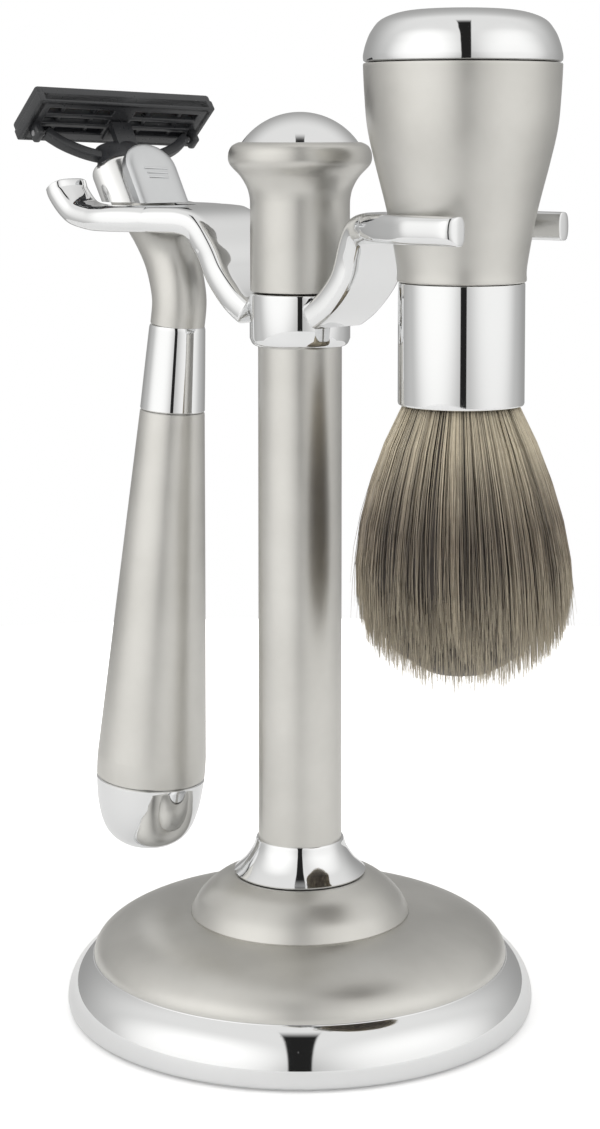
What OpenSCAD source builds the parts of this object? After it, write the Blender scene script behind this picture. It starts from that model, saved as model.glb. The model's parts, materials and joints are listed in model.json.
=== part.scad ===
// Shaving stand with a hanging razor and a hanging shaving brush.
// Millimetres, +Z up. The origin is on the table under the middle of the post.
// The brush hangs on the +X side and the razor on the -X side.

/* [Base] */
// Outside diameter of the foot, across its widest line
base_d = 90; // [80:1:120]
// Height of the seam between the polished rim and the satin dome
rim_h = 10.8; // [9:0.1:14]
// How far that seam lies inside the widest line
rim_band = 4.9; // [4:0.1:7]
// Rise of the dome above the seam
dome_rise = 7.6; // [5:0.1:12]
// Diameter of the raised step on the dome
step_d = 42.6; // [36:0.1:52]
// Rise of the step above the dome
step_rise = 7.8; // [6:0.1:12]
// Wall of the pressed dome
base_wall = 1.6; // [1:0.1:2.5]
// Thickness of the foot pad
pad_t = 2; // [1.5:0.1:3]
// How far the pad stands proud of the rim
pad_proud = 0.4; // [0.2:0.1:0.8]

/* [Post] */
// Diameter of the post
post_d = 16; // [13:0.1:20]
// Wall of the post
post_wall = 1.2; // [0.8:0.1:2]
// Length of post that shows between the two collars
post_len = 95.3; // [70:0.1:130]
// Height of the flared collar at the foot of the post
foot_collar_h = 6.8; // [5:0.1:10]
// How far the flared collar stands out from the post at its foot
foot_collar_flare = 4.7; // [3:0.1:6]
// Diameter of the tie rod that holds the stand together
rod_d = 6; // [5:0.1:7]

/* [Arm collar and finial] */
// Height of the collar that carries both arms
arm_collar_h = 10.4; // [8:0.1:14]
// How far that collar stands out from the post
arm_collar_step = 1.6; // [1:0.1:3]
// Length of the finial sleeve above the collar
finial_h = 28.5; // [24:0.1:36]
// Height of the polished dome on top
finial_dome_h = 5.7; // [4:0.1:8]
// How far the finial's bulge stands out from its sleeve
finial_flare = 4.1; // [3:0.1:6]

/* [Arms] */
// Thickness of an arm, seen from the side
arm_t = 5.2; // [4:0.1:6]
// Height of the fork's plate above the foot of the arm collar
arm_rise = 23.8; // [22:0.1:27]
// Width of an arm where it meets the collar
arm_root_w = 16; // [13:0.1:17]
// Gap between a hung piece and the fork that holds it
fork_gap = 0.3; // [0.2:0.05:0.5]
// Width of each prong of the brush fork
brush_prong_w = 4.5; // [4:0.1:6]
// Width of each prong of the razor fork
razor_prong_w = 9.6; // [8:0.1:12]
// Width of the slot that the razor hangs in
razor_slot_w = 14.4; // [14.2:0.1:18]
// Height of the upturned lips on the razor fork
lip_h = 8; // [6:0.1:9]

/* [Brush] */
// Distance of the brush from the post
brush_x = 39; // [37:0.1:50]
// Radius of the brush handle where the fork holds it
brush_seat_r = 13.4; // [12.6:0.1:14.5]
// Radius of the brush handle at its waist
brush_waist_r = 11.65; // [10.5:0.05:12.2]
// Radius of the brush handle at its shoulder
brush_shoulder_r = 17.8; // [16.5:0.1:19]
// Length of handle below the fork
brush_low = 12.4; // [11:0.1:16]
// Length of handle above the fork, up to the cap
brush_high = 26.7; // [24:0.1:34]
// Height of the polished cap
brush_cap_h = 9.5; // [8:0.1:12]
// Length of the ferrule
ferrule_h = 22.1; // [18:0.1:27]
// Wall of the ferrule
ferrule_wall = 0.8; // [0.5:0.1:1.2]
// Length of hair that shows
hair_h = 51.7; // [43:0.1:62]
// Radius of the hair at its widest
hair_r = 19.6; // [17:0.1:22]

/* [Razor] */
// Distance of the razor's neck from the post
razor_x = 38.5; // [38:0.1:48]
// Turn of the hung razor about a vertical line
razor_yaw = 13; // [0:1:14]
// Lean of the razor handle, with its foot outwards
razor_lean = 3.3; // [2:0.1:5]
// Sideways tilt of the hung razor in its slot
razor_roll = 2.2; // [0:0.1:3]
// Diameter of the neck
neck_d = 10.8; // [10:0.1:11]
// Length of the polished band
band_len = 17.2; // [14:0.1:22]
// Diameter of the handle at the lower edge of the band
grip_top_d = 12.9; // [12:0.1:14]
// Diameter of the handle at its thickest
grip_d = 21.9; // [18:0.1:26]
// Length of the satin grip
grip_len = 74.8; // [60:0.1:90]
// Length of the polished end cap
end_cap_len = 13.9; // [11:0.1:17]

/* [Razor head] */
// Lean of the head away from the vertical
nose_tilt = 37; // [34:1:39]
// Width of the head's housing
housing_w = 16.4; // [15.6:0.1:18]
// Thickness of the head's housing
housing_t = 11; // [10.4:0.1:12]
// Length of the head's housing along the head
housing_len = 8.8; // [8:0.1:9.4]
// Width of the release button
button_w = 11.6; // [10:0.1:13]
// Travel of the release button
button_travel = 2.5; // [1.5:0.1:2.6]
// Length of the cartridge across the face
cartridge_len = 41.6; // [40:0.1:46]
// Width of the cartridge
cartridge_w = 12.3; // [11.8:0.1:13]
// Thickness of the cartridge
cartridge_t = 4; // [3.6:0.1:4.6]
// Rest angle of the cartridge on the head
cartridge_tilt = 3.6; // [2:0.1:8]
// Distance of the cartridge pivot from the foot of the head
pivot_w = 16.8; // [16.6:0.1:19]

/* [Hidden] */
$fn = 96;

fit = 0.05;               // radial clearance between pieces that are pushed together
big = 200;                // longer than any single piece

// Heights of the stand's seams.
dome_z = rim_h + dome_rise;
step_z = dome_z + step_rise;
post_z = step_z + foot_collar_h;
arm_collar_z = post_z + post_len;
finial_z = arm_collar_z + arm_collar_h;
finial_dome_z = finial_z + finial_h;
seat_t = 1.5;             // floor of a socket that a tube stands on

// Radii of the stand.
base_r = base_d / 2;
seam_r = base_r - rim_band;
step_r = step_d / 2;
post_r = post_d / 2;
foot_collar_r = post_r + foot_collar_flare;
arm_collar_r = post_r + arm_collar_step;
rod_r = rod_d / 2;
rod_hole_r = rod_r + fit;
sleeve_r = arm_collar_r - 0.1;
bulge_r = sleeve_r + finial_flare;
ledge = 3;                // width of the ledge under the dome's edge
pad_r = seam_r - ledge - fit;
nut_pocket_r = rod_d * 1.4;
weight_top = rim_h - 3;

// The forks.
plate_z = arm_collar_z + arm_rise;
plate_top = plate_z + arm_t / 2;
brush_slot_r = brush_seat_r + fork_gap;
brush_fork_r = brush_slot_r + brush_prong_w;
brush_tip_x = brush_x + 11.5;
razor_slot_r = razor_slot_w / 2;
razor_fork_r = razor_slot_r + razor_prong_w;
razor_slot_x = razor_x - 1.5;
lip_x = razor_x + 14.2;   // outermost middle line of the lips

// The brush, with heights taken from the top of the fork.
brush_foot = -brush_low;
ferrule_foot = brush_foot - ferrule_h;
ferrule_r = brush_waist_r - 0.25;
knot_r = ferrule_r - ferrule_wall - fit;
knot_h = 9;
knot_drop = 5;            // from the top of the ferrule down to the resin plug
stud_r = 3;
cap_spigot_r = 8;
cap_spigot_h = 5;

// The razor handle: a straight axis that leaves the neck at band_top and leans outwards.
band_top = [8.66, plate_top - 23.7];
neck_r = neck_d / 2;
grip_r = grip_d / 2;
grip_top_r = grip_top_d / 2;
grip_foot = band_len + grip_len;
handle_rod_r = 2.5;
rod_up = 5;               // reach of the rod into the neck
rod_down = 5;             // reach of the rod into the end cap

// The head, in its own frame: x across its thickness, y along the cartridge, z up the head.
nose_x = -7;
pocket = [4.8, 8.2];      // thickness and width of the plug on the hub
pocket_floor = 2.6;
plunger_x = 2.35;
plunger_size = [1.5, 4.6];
plunger_travel = 2;
plunger_foot = -1.6;
plunger_well = plunger_foot - 0.6 - plunger_travel - 2.6; // floor of the plunger's pocket
head_gap = [1.4, 2.4];    // room for the head between the lips, across its thickness and its width
button_x = housing_t / 2 + 0.5;
button_t = 3.2;
button_z = 1.6;
button_top = 9.1;         // height of the button's round end
button_l = 14;            // length of the straight sides, cut off by the fork
stem = [2.6, 4, 3];       // the button's foot: thickness, width and height
back_z = 1.57;            // cartridge back face above its pivot
pivot_r = 0.6;
yoke_y = 17.3;            // outer face of the yoke's arms
ear_gap = 0.3;
cartridge_x = 2;          // middle of the cartridge from its pivot
plunger_tip = pivot_w + back_z / cos(cartridge_tilt) + plunger_x * tan(cartridge_tilt) - fork_gap;
frame_wall = 1.4;
slot_rows = 3;
slot_pitch = 2.8;         // spacing of the rinsing slots
slot_w = 1.7;             // width of a rinsing slot
rib_w = 5;                // width of the middle rib
strip_w = 2.6;
guard_w = 2.2;
blade_count = 3;
blade_t = 0.25;

// ---------- outlines and placing ----------

// Points of a smooth curve through the given points.
function curve(p, steps = 5) = let (n = len(p)) concat([for (i = [0:n - 2], s = [0:steps - 1])
    let (a = p[max(i - 1, 0)], b = p[i], c = p[i + 1], d = p[min(i + 2, n - 1)], t = s / steps)
    0.5 * (2 * b + (c - a) * t + (2 * a - 5 * b + 4 * c - d) * t * t
        + (3 * b - a - 3 * c + d) * t * t * t)], [p[n - 1]]);

// A strip of even thickness along a curve, as one closed outline.
function strip(p, t) = let (n = len(p),
    side = [for (i = [0:n - 1]) let (d = p[min(i + 1, n - 1)] - p[max(i - 1, 0)])
        [-d.y, d.x] / norm(d) * t / 2])
    concat([for (i = [0:n - 1]) p[i] + side[i]], [for (i = [n - 1:-1:0]) p[i] - side[i]]);

// A tube of round section along a path, with side and up directions for each ring.
module swept(path, side, up, r, sides = 20) {
    n = len(path);
    points = [for (i = [0:n - 1], k = [0:sides - 1])
        path[i] + r * (cos(360 * k / sides) * side[i] + sin(360 * k / sides) * up[i])];
    walls = [for (i = [0:n - 2], k = [0:sides - 1]) let (m = (k + 1) % sides)
        [i * sides + k, i * sides + m, (i + 1) * sides + m, (i + 1) * sides + k]];
    polyhedron(points, concat([[for (k = [sides - 1:-1:0]) k]], walls,
        [[for (k = [0:sides - 1]) (n - 1) * sides + k]]), convexity = 6);
}

// A coil spring standing on z = 0.
module coil(r, wire, turns, height) {
    n = turns * 14;
    swept([for (i = [0:n]) let (a = 360 * turns * i / n) [r * cos(a), r * sin(a), height * i / n]],
        [for (i = [0:n]) let (a = 360 * turns * i / n) [cos(a), sin(a), 0]],
        [for (i = [0:n]) [0, 0, 1]], wire / 2, 8);
}

module turned(points) { rotate_extrude() polygon(points); }
module rod(r, z0, z1) { translate([0, 0, z0]) cylinder(r = r, h = z1 - z0); }
module block(x0, x1, w, z0, z1) { translate([x0, -w / 2, z0]) cube([x1 - x0, w, z1 - z0]); }

module at_brush() { translate([brush_x, 0, plate_top]) children(); }
module at_razor() {
    translate([-razor_x, 0, plate_z]) rotate([0, 0, -razor_yaw]) rotate([-razor_roll, 0, 0])
        translate([0, 0, -plate_z]) children();
}
// Along the handle, z runs down from the top of the band.
module at_handle() {
    at_razor() translate([band_top.x, 0, band_top.y]) rotate([180, razor_lean, 0]) children();
}
module at_nose() { at_razor() translate([nose_x, 0, plate_top]) rotate([0, -nose_tilt, 0]) children(); }
module at_cartridge() { at_nose() translate([0, 0, pivot_w]) rotate([0, -cartridge_tilt, 0]) children(); }
// Everything of the head that lies above the fork's plate.
module above_plate() {
    difference() {
        children();
        translate([-big / 2, -big / 2, plate_top + fork_gap - big]) cube(big);
    }
}

// ---------- the stand ----------

module foot_pad() { color("dimgray") rod(pad_r, 0, pad_t); }

module base_rim() {
    bead = 2.1;           // height of the widest line above the rim's foot
    color("silver") turned(concat([[seam_r - ledge, pad_proud], [base_r - 1, pad_proud]],
        [for (i = [0:8]) let (a = 66 * i / 8)
            [base_r - 9 * (1 - cos(a)), pad_proud + bead + (rim_h - pad_proud - bead) * sin(a) / sin(66)]],
        [[seam_r, rim_h], [seam_r, rim_h - 2.6], [seam_r - ledge, rim_h - 2.6]]));
}

module base_dome() {
    edge = seam_r - fit;
    top = [for (i = [0:10]) let (a = 90 * i / 10)
        [edge - (edge - step_r) * (1 - cos(a)), rim_h + dome_rise * sin(a)]];
    color("lightgray") turned(concat([[edge, rim_h - 2.6]], top, [[rod_hole_r, dome_z],
        [rod_hole_r, dome_z - base_wall]],
        [for (i = [10:-1:0]) [top[i].x - base_wall, top[i].y - base_wall]],
        [[edge - base_wall, rim_h - 2.6]]));
}

module base_step() {
    color("lightgray") turned(concat([[rod_hole_r, dome_z]],
        curve([[step_r, dome_z], [step_r - 1.8, dome_z + step_rise * 0.4],
            [step_r - 4.8, dome_z + step_rise * 0.76], [foot_collar_r, step_z]], 4),
        [[rod_hole_r, step_z]]));
}

module base_weight() {
    boss_r = min(step_r - base_wall - 2, 14);
    color("dimgray") difference() {
        union() {
            rod(pad_r, pad_t, weight_top);
            rod(boss_r, weight_top - 1, dome_z - base_wall);
        }
        rod(nut_pocket_r, -1, weight_top - 2);
        rod(rod_hole_r, 0, big);
    }
}

module foot_collar() {
    color("silver") difference() {
        turned(concat([[0, step_z]], curve([[foot_collar_r, step_z],
            [post_r + 2.7, step_z + foot_collar_h * 0.34], [post_r + 1.1, step_z + foot_collar_h * 0.7],
            [post_r + 0.5, post_z]], 4), [[0, post_z]]));
        rod(post_r + fit, step_z + seat_t, big);
        rod(rod_hole_r, 0, big);
    }
}

module base_washer() {
    color("silver") difference() {
        rod(nut_pocket_r - 0.8, weight_top - 3.2, weight_top - 2);
        rod(rod_hole_r, 0, big);
    }
}

module base_nut() {
    color("silver") difference() {
        translate([0, 0, pad_t + 0.1]) cylinder(d = rod_d * 1.9, h = weight_top - 3.2 - pad_t - 0.1, $fn = 6);
        rod(rod_hole_r, 0, big);
    }
}

module tie_rod() { color("gray") rod(rod_r, pad_t + 0.3, finial_z + 20); }

module post_tube() {
    color("lightgray") difference() {
        rod(post_r, step_z + seat_t, arm_collar_z + 4);
        rod(post_r - post_wall, 0, big);
    }
}

module post_bushes() {
    color("dimgray") for (z = [step_z + seat_t, arm_collar_z - 6]) difference() {
        rod(post_r - post_wall - fit, z, z + 10);
        rod(rod_hole_r, 0, big);
    }
}

module arm_collar() {
    edge = 1.5;
    color("silver") difference() {
        turned(concat([[0, arm_collar_z], [arm_collar_r - edge, arm_collar_z]],
            [for (i = [1:4]) let (a = 90 * i / 4)
                [arm_collar_r - edge * (1 - sin(a)), arm_collar_z + edge * (1 - cos(a))]],
            [[arm_collar_r, finial_z - 0.4], [arm_collar_r - 0.4, finial_z], [0, finial_z]]));
        rod(post_r + fit, 0, arm_collar_z + 4);
        rod(rod_hole_r, 0, big);
    }
}

// Outline of a fork from above: a root, a round end about the slot and two prongs.
module fork_plan(x, slot_x, slot_r, fork_r, tip_x) {
    tip_r = (fork_r - slot_r) / 2;
    half = concat(curve([[0, arm_root_w / 2], [15, arm_root_w / 2], [19, arm_root_w / 2 + 1.2],
        [x - fork_r * 0.72, fork_r * 0.72], [x, fork_r]], 5),
        [for (a = [90:-15:-90]) [tip_x - tip_r + tip_r * cos(a), slot_r + tip_r + tip_r * sin(a)]]);
    difference() {
        polygon(concat(half, [for (i = [len(half) - 1:-1:0]) [half[i].x, -half[i].y]]));
        translate([slot_x, 0]) circle(slot_r);
        translate([slot_x, -slot_r]) square([big, 2 * slot_r]);
    }
}

// Middle line of an arm from the side: out of the collar, up in an S, then level.
function arm_line(tail) = concat(curve([[arm_collar_r - 1.6, plate_z - 17.6], [12, plate_z - 14.9],
    [16, plate_z - 10.3], [18.3, plate_z - 5.1], [21, plate_z - 1.2], [25, plate_z]], 4), tail);

module arm(points, tip_x, x, slot_x, slot_r, fork_r) {
    difference() {
        intersection() {
            rotate([90, 0, 0]) linear_extrude(height = 3 * fork_r, center = true) polygon(strip(points, arm_t));
            translate([0, 0, arm_collar_z - 5]) linear_extrude(height = 60)
                fork_plan(x, slot_x, slot_r, fork_r, tip_x);
        }
        rod(arm_collar_r, 0, big);
    }
}

module brush_arm() {
    color("silver") arm(arm_line([[brush_tip_x + 5, plate_z]]), brush_tip_x, brush_x, brush_x,
        brush_slot_r, brush_fork_r);
}

module razor_arm() {
    tail = curve([[lip_x - 10.5, plate_z], [lip_x - 5, plate_z + 1.1],
        [lip_x - 1.2, plate_z + 4.4], [lip_x, plate_z + lip_h]], 5);
    color("silver") difference() {
        mirror([1, 0, 0]) arm(arm_line(tail), lip_x + 12, razor_x, razor_slot_x, razor_slot_r, razor_fork_r);
        // The lips' inner sides follow the head, so that it can be lifted out.
        intersection() {
            at_nose() translate([0, 0, -4]) linear_extrude(height = 30)
                polygon([for (a = [0:10:350]) [(housing_t + head_gap.x) / 2 * cos(a),
                    (housing_w + head_gap.y) / 2 * sin(a)]]);
            translate([-big, -big / 2, plate_top + 0.05]) cube(big);
        }
    }
}

module finial_body() {
    h = finial_h;
    color("lightgray") difference() {
        turned(concat([[0, finial_z], [sleeve_r, finial_z], [sleeve_r, finial_z + h - 11]],
            curve([[sleeve_r, finial_z + h - 10.9], [sleeve_r + 0.5, finial_z + h - 8.7],
                [sleeve_r + 1.7, finial_z + h - 6.5], [bulge_r - 0.3, finial_z + h - 4.2],
                [bulge_r, finial_z + h - 2.3], [bulge_r - 0.9, finial_z + h - 0.7],
                [bulge_r - 2.4, finial_z + h]], 4),
            [[0, finial_z + h]]));
        rod(rod_hole_r, 0, finial_z + 22);
        rod(rod_r + 2 + fit, 0, finial_z + 8);
    }
}

module finial_insert() {
    color("goldenrod") difference() {
        rod(rod_r + 2, finial_z, finial_z + 8);
        rod(rod_hole_r, 0, big);
    }
}

module finial_dome() {
    r = bulge_r - 2.6;
    ball = (r * r + finial_dome_h * finial_dome_h) / (2 * finial_dome_h);
    edge = asin(r / ball);
    color("silver") turned(concat([[0, finial_dome_z]], [for (i = [10:-1:0])
        [ball * sin(edge * i / 10), finial_dome_z + finial_dome_h - ball * (1 - cos(edge * i / 10))]]));
}

// ---------- the brush ----------

module brush_cap() {
    r = brush_shoulder_r;
    color("silver") at_brush() union() {
        turned(concat([[0, brush_high], [r, brush_high], [r, brush_high + 1.3]],
            curve([[r, brush_high + 1.4], [r - 0.5, brush_high + brush_cap_h * 0.36],
                [r - 1.45, brush_high + brush_cap_h * 0.59], [r - 3.3, brush_high + brush_cap_h * 0.81],
                [r - 7, brush_high + brush_cap_h * 0.95], [r - 12, brush_high + brush_cap_h]], 4),
            [[0, brush_high + brush_cap_h]]));
        rod(cap_spigot_r, brush_high - cap_spigot_h, brush_high + 1);
    }
}

module brush_handle() {
    w = brush_waist_r;
    r = brush_shoulder_r;
    color("lightgray") at_brush() difference() {
        turned(concat([[0, brush_foot]], curve([[w, brush_foot], [w + 0.1, brush_foot + 3.4],
            [brush_seat_r, 0], [(brush_seat_r + r) / 2, brush_high * 0.33],
            [r - 0.8, brush_high * 0.57], [r - 0.25, brush_high * 0.8], [r, brush_high]], 5),
            [[0, brush_high]]));
        rod(cap_spigot_r + fit, brush_high - cap_spigot_h - 0.5, big);
        rod(stud_r + fit, -big, brush_foot + 10);
    }
}

module brush_ferrule() {
    color("silver") at_brush() turned([[ferrule_r - ferrule_wall, ferrule_foot + 0.4],
        [ferrule_r - ferrule_wall * 0.4, ferrule_foot], [ferrule_r, ferrule_foot + 0.5],
        [ferrule_r, brush_foot], [ferrule_r - ferrule_wall, brush_foot]]);
}

module knot_plug() {
    top = brush_foot - knot_drop;
    color("dimgray") at_brush() difference() {
        rod(knot_r, top - knot_h, top);
        rod(stud_r + fit, top - 6, big);
    }
}

module brush_stud() { color("gray") at_brush() rod(stud_r, brush_foot - knot_drop - 5.5, brush_foot + 9); }

module brush_hair() {
    top = brush_foot - knot_drop - knot_h;
    foot = ferrule_foot - hair_h;
    color("tan") at_brush() turned(concat([[0, top], [knot_r, top], [knot_r, ferrule_foot]],
        curve([[knot_r, ferrule_foot], [hair_r * 0.66, ferrule_foot - hair_h * 0.11],
            [hair_r * 0.81, ferrule_foot - hair_h * 0.28], [hair_r * 0.93, ferrule_foot - hair_h * 0.44],
            [hair_r, ferrule_foot - hair_h * 0.64], [hair_r * 0.87, ferrule_foot - hair_h * 0.78],
            [hair_r * 0.5, ferrule_foot - hair_h * 0.94], [2, foot]], 4), [[0, foot]]));
}

// ---------- the razor handle ----------

module handle_rod() { color("gray") at_handle() rod(handle_rod_r, -rod_up, grip_foot + rod_down); }

module handle_band() {
    color("silver") at_handle() turned([[handle_rod_r + fit, 0], [neck_r, 0], [neck_r + 0.15, 0.3],
        [grip_top_r, band_len], [handle_rod_r + fit, band_len]]);
}

module handle_grip() {
    color("lightgray") at_handle() turned(concat([[handle_rod_r + fit, band_len]],
        curve([[grip_top_r, band_len], [(grip_top_r + grip_r) / 2, band_len + grip_len * 0.47],
            [grip_r - 0.3, band_len + grip_len * 0.88], [grip_r, grip_foot - 4], [grip_r - 0.05, grip_foot]], 4),
        [[handle_rod_r + fit, grip_foot]]));
}

module handle_end_cap() {
    r = grip_r - 0.05;
    color("silver") at_handle() difference() {
        turned(concat([[0, grip_foot]], curve([[r, grip_foot], [r - 0.28, grip_foot + end_cap_len * 0.22],
            [r - 0.7, grip_foot + end_cap_len * 0.42], [r - 1.6, grip_foot + end_cap_len * 0.65],
            [r - 2.9, grip_foot + end_cap_len * 0.82], [r - 4.8, grip_foot + end_cap_len * 0.94],
            [r - 6.8, grip_foot + end_cap_len]], 3), [[0, grip_foot + end_cap_len]]));
        rod(handle_rod_r + fit, 0, grip_foot + rod_down + 0.3);
    }
}

// Middle line of the neck: up from the band, then over to the head.
module handle_neck() {
    up = [sin(razor_lean), cos(razor_lean)];
    line = curve([band_top, band_top + 5.5 * up, [6.2, plate_top - 11.6], [1.9, plate_top - 6.6],
        [-3, plate_top - 2.4], [nose_x - 0.8, plate_top + 1]], 4);
    n = len(line) - 1;
    along = [for (i = [0:n]) i == 0 ? up : (line[min(i + 1, n)] - line[i - 1]) / norm(line[min(i + 1, n)] - line[i - 1])];
    color("lightgray") difference() {
        at_razor() swept([for (p = line) [p.x, 0, p.y]], [for (d = along) [d.y, 0, -d.x]],
            [for (d = along) [0, 1, 0]], neck_r, 32);
        translate([-big / 2, -big / 2, plate_top + fork_gap]) cube(big);
        at_handle() rod(handle_rod_r + fit, -rod_up - 0.3, 1);
        at_nose() plunger_pocket();
    }
}

// ---------- the razor head ----------

module oval(w, t) { scale([t / w, 1, 1]) cylinder(d = w, h = 0.1, $fn = 36); }

module plunger_pocket() {
    block(plunger_x - plunger_size.x / 2 - 0.3, plunger_x + plunger_size.x / 2 + 0.3,
        plunger_size.y + 0.6, plunger_well, big);
}

module head_housing() {
    color("whitesmoke") above_plate_at_nose() difference() {
        hull() {
            translate([0, 0, -9]) oval(housing_w * 0.94, housing_t);
            translate([0, 0, housing_len - 1.2]) oval(housing_w, housing_t);
            translate([0, 0, housing_len - 0.1]) oval(housing_w - 1.4, housing_t - 1.4);
        }
        block(-pocket.x / 2 - 0.3, pocket.x / 2 + 0.3, pocket.y + 0.6, pocket_floor, big);
        plunger_pocket();
        block(pocket.x / 2 + 1.2, big, stem.y + 0.6, button_z - stem.z / 2 - 0.3 - 2.5,
            button_z + stem.z / 2 + button_travel + 0.3);
    }
}

module above_plate_at_nose() { above_plate() at_nose() children(); }

module button_spring() {
    color("gray") at_nose() translate([pocket.x / 2 + 1.2 + stem.x / 2, 0, button_z - stem.z / 2 - 2.5])
        coil(0.85, 0.4, 3, 2.2);
}

module plunger_spring() {
    color("gray") at_nose() translate([plunger_x, 0, plunger_foot - plunger_travel - 2.2])
        coil(0.6, 0.35, 5, plunger_travel + 1.9);
}

module plunger() {
    color("dimgray") at_nose() block(plunger_x - plunger_size.x / 2, plunger_x + plunger_size.x / 2,
        plunger_size.y, plunger_foot, plunger_tip);
}

// The thumb button: a crowned oval tongue with a foot that runs in the housing.
module release_button() {
    crown = 26;
    color("gainsboro") above_plate_at_nose() union() {
        intersection() {
            translate([button_x, 0, button_top - button_w / 2]) rotate([0, 90, 0])
                linear_extrude(height = button_t) union() {
                    circle(d = button_w);
                    polygon([[0, -button_w / 2], [button_l, -button_w / 2 + 0.5],
                        [button_l, button_w / 2 - 0.5], [0, button_w / 2]]);
                }
            translate([button_x + button_t - crown, 0, button_z]) sphere(r = crown);
        }
        block(pocket.x / 2 + 1.5, button_x + 1, stem.y, button_z - stem.z / 2, button_z + stem.z / 2);
    }
}

// The hub: a plug for the head's pocket, a waisted body and a curved yoke.
module cartridge_hub() {
    yoke = curve([[yoke_y - 1, pivot_w - 0.2], [yoke_y - 4.4, pivot_w - 2.8], [7, pivot_w - 5.2],
        [0, pivot_w - 6], [-7, pivot_w - 5.2], [4.4 - yoke_y, pivot_w - 2.8], [1 - yoke_y, pivot_w - 0.2]], 4);
    color([0.2, 0.2, 0.21]) at_nose() difference() {
        union() {
            hull() {
                translate([0, 0, housing_len + 0.15]) oval(13.6, 8.6);
                translate([0, 0, pivot_w - 3.4]) oval(12.6, 6.2);
            }
            block(-pocket.x / 2, pocket.x / 2, pocket.y, pocket_floor + 0.4, housing_len + 1);
            rotate([90, 0, 90]) linear_extrude(height = 2.2, center = true) polygon(strip(yoke, 2.2));
            for (s = [-1, 1]) translate([0, s * (yoke_y - 1), pivot_w]) rotate([90, 0, 0])
                cylinder(r = 1.2, h = 2, center = true);
        }
        block(plunger_x - plunger_size.x / 2 - 0.2, plunger_x + plunger_size.x / 2 + 0.2,
            plunger_size.y + 0.4, -5, big);
        translate([0, 0, pivot_w]) rotate([90, 0, 0]) cylinder(r = pivot_r, h = big, center = true);
    }
}

module pivot_pins() {
    color("silver") at_nose() for (s = [-1, 1]) translate([0, s * (yoke_y + 0.2), pivot_w])
        rotate([90, 0, 0]) cylinder(r = pivot_r, h = 4, center = true);
}

// Rounded outline of the cartridge, seen from its face.
module cartridge_outline(inset) {
    r = 1.6;
    w = cartridge_w / 2 - inset - r;
    l = cartridge_len / 2 - inset - r;
    union() {
        square([2 * w, 2 * (l + r)], center = true);
        square([2 * (w + r), 2 * l], center = true);
        for (x = [-1, 1], y = [-1, 1]) translate([x * w, y * l]) circle(r);
    }
}

module cartridge_frame() {
    window = (cartridge_len - rib_w) / 2 - 3.2;
    ear_y = yoke_y + ear_gap;
    color([0.12, 0.12, 0.12]) at_cartridge() difference() {
        union() {
            translate([cartridge_x, 0, back_z]) linear_extrude(height = cartridge_t) cartridge_outline(0);
            for (s = [-1, 1]) translate([0, s * (ear_y + 0.9), 0]) {
                rotate([90, 0, 0]) cylinder(r = 1.6, h = 1.8, center = true);
                translate([-1.6, -0.9, 0]) cube([3.2, 1.8, back_z + 0.5]);
            }
        }
        // Bay for the blades, open to the face.
        translate([cartridge_x, 0, back_z + 1.2 + big / 2])
            cube([cartridge_w - 2 * frame_wall, cartridge_len - 2 * frame_wall - 1.6, big], center = true);
        // Rinsing slots, open to the back.
        for (s = [-1, 1], i = [0:slot_rows - 1])
            translate([cartridge_x + (i - 1) * slot_pitch + 0.3, s * (rib_w + window) / 2, back_z])
                cube([slot_w, window, 6], center = true);
        rotate([90, 0, 0]) cylinder(r = pivot_r + fit, h = big, center = true);
    }
}

module lubricating_strip() {
    x1 = cartridge_x + cartridge_w / 2 - frame_wall;
    color("lightcyan") at_cartridge() block(x1 - strip_w, x1, cartridge_len - 2 * frame_wall - 1.8,
        back_z + 1.2, back_z + cartridge_t - 0.2);
}

module guard_fins() {
    x0 = cartridge_x - cartridge_w / 2 + frame_wall;
    len_y = cartridge_len - 2 * frame_wall - 1.8;
    color([0.15, 0.15, 0.17]) at_cartridge() union() {
        block(x0, x0 + guard_w, len_y, back_z + 1.2, back_z + 2.6);
        for (i = [0:3]) block(x0 + 0.1 + i * 0.55, x0 + 0.4 + i * 0.55, len_y, back_z + 2.4, back_z + cartridge_t - 0.3);
    }
}

module blades() {
    x0 = cartridge_x - cartridge_w / 2 + frame_wall + guard_w + 0.5;
    step = (cartridge_w - 2 * frame_wall - guard_w - strip_w - 0.6) / blade_count;
    color("silver") at_cartridge() for (i = [0:blade_count - 1])
        translate([x0 + i * step, -(cartridge_len - 6.4) / 2, back_z + 1.75]) rotate([0, -24, 0])
            cube([step * 0.86, cartridge_len - 6.4, blade_t]);
}

module end_clips() {
    color("silver") at_cartridge() for (s = [-1, 1])
        translate([cartridge_x, s * (cartridge_len / 2 - 2.75), back_z + cartridge_t + 0.2])
            cube([cartridge_w - 2 * frame_wall + 1.2, 0.7, 0.4], center = true);
}

foot_pad();
base_rim();
base_dome();
base_step();
base_weight();
foot_collar();
tie_rod();
base_washer();
base_nut();
post_tube();
post_bushes();
arm_collar();
brush_arm();
razor_arm();
finial_body();
finial_insert();
finial_dome();
brush_cap();
brush_handle();
brush_ferrule();
brush_hair();
knot_plug();
brush_stud();
handle_end_cap();
handle_grip();
handle_band();
handle_neck();
handle_rod();
head_housing();
button_spring();
plunger_spring();
release_button();
plunger();
cartridge_hub();
pivot_pins();
cartridge_frame();
blades();
lubricating_strip();
guard_fins();
end_clips();
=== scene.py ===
# %% [markdown]
# # A shaving stand with its razor and brush
# The object is a heavy round foot, a post and two forked arms. A razor hangs in one fork and a brush
# in the other. Nearly every piece is turned metal, so this lesson is mostly about three things: clean
# turned outlines, believable satin and polished plating, and a few thousand separate hairs.

# %% The frame
import json
import math
import random

import bpy
from mathutils import Matrix, Vector


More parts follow.
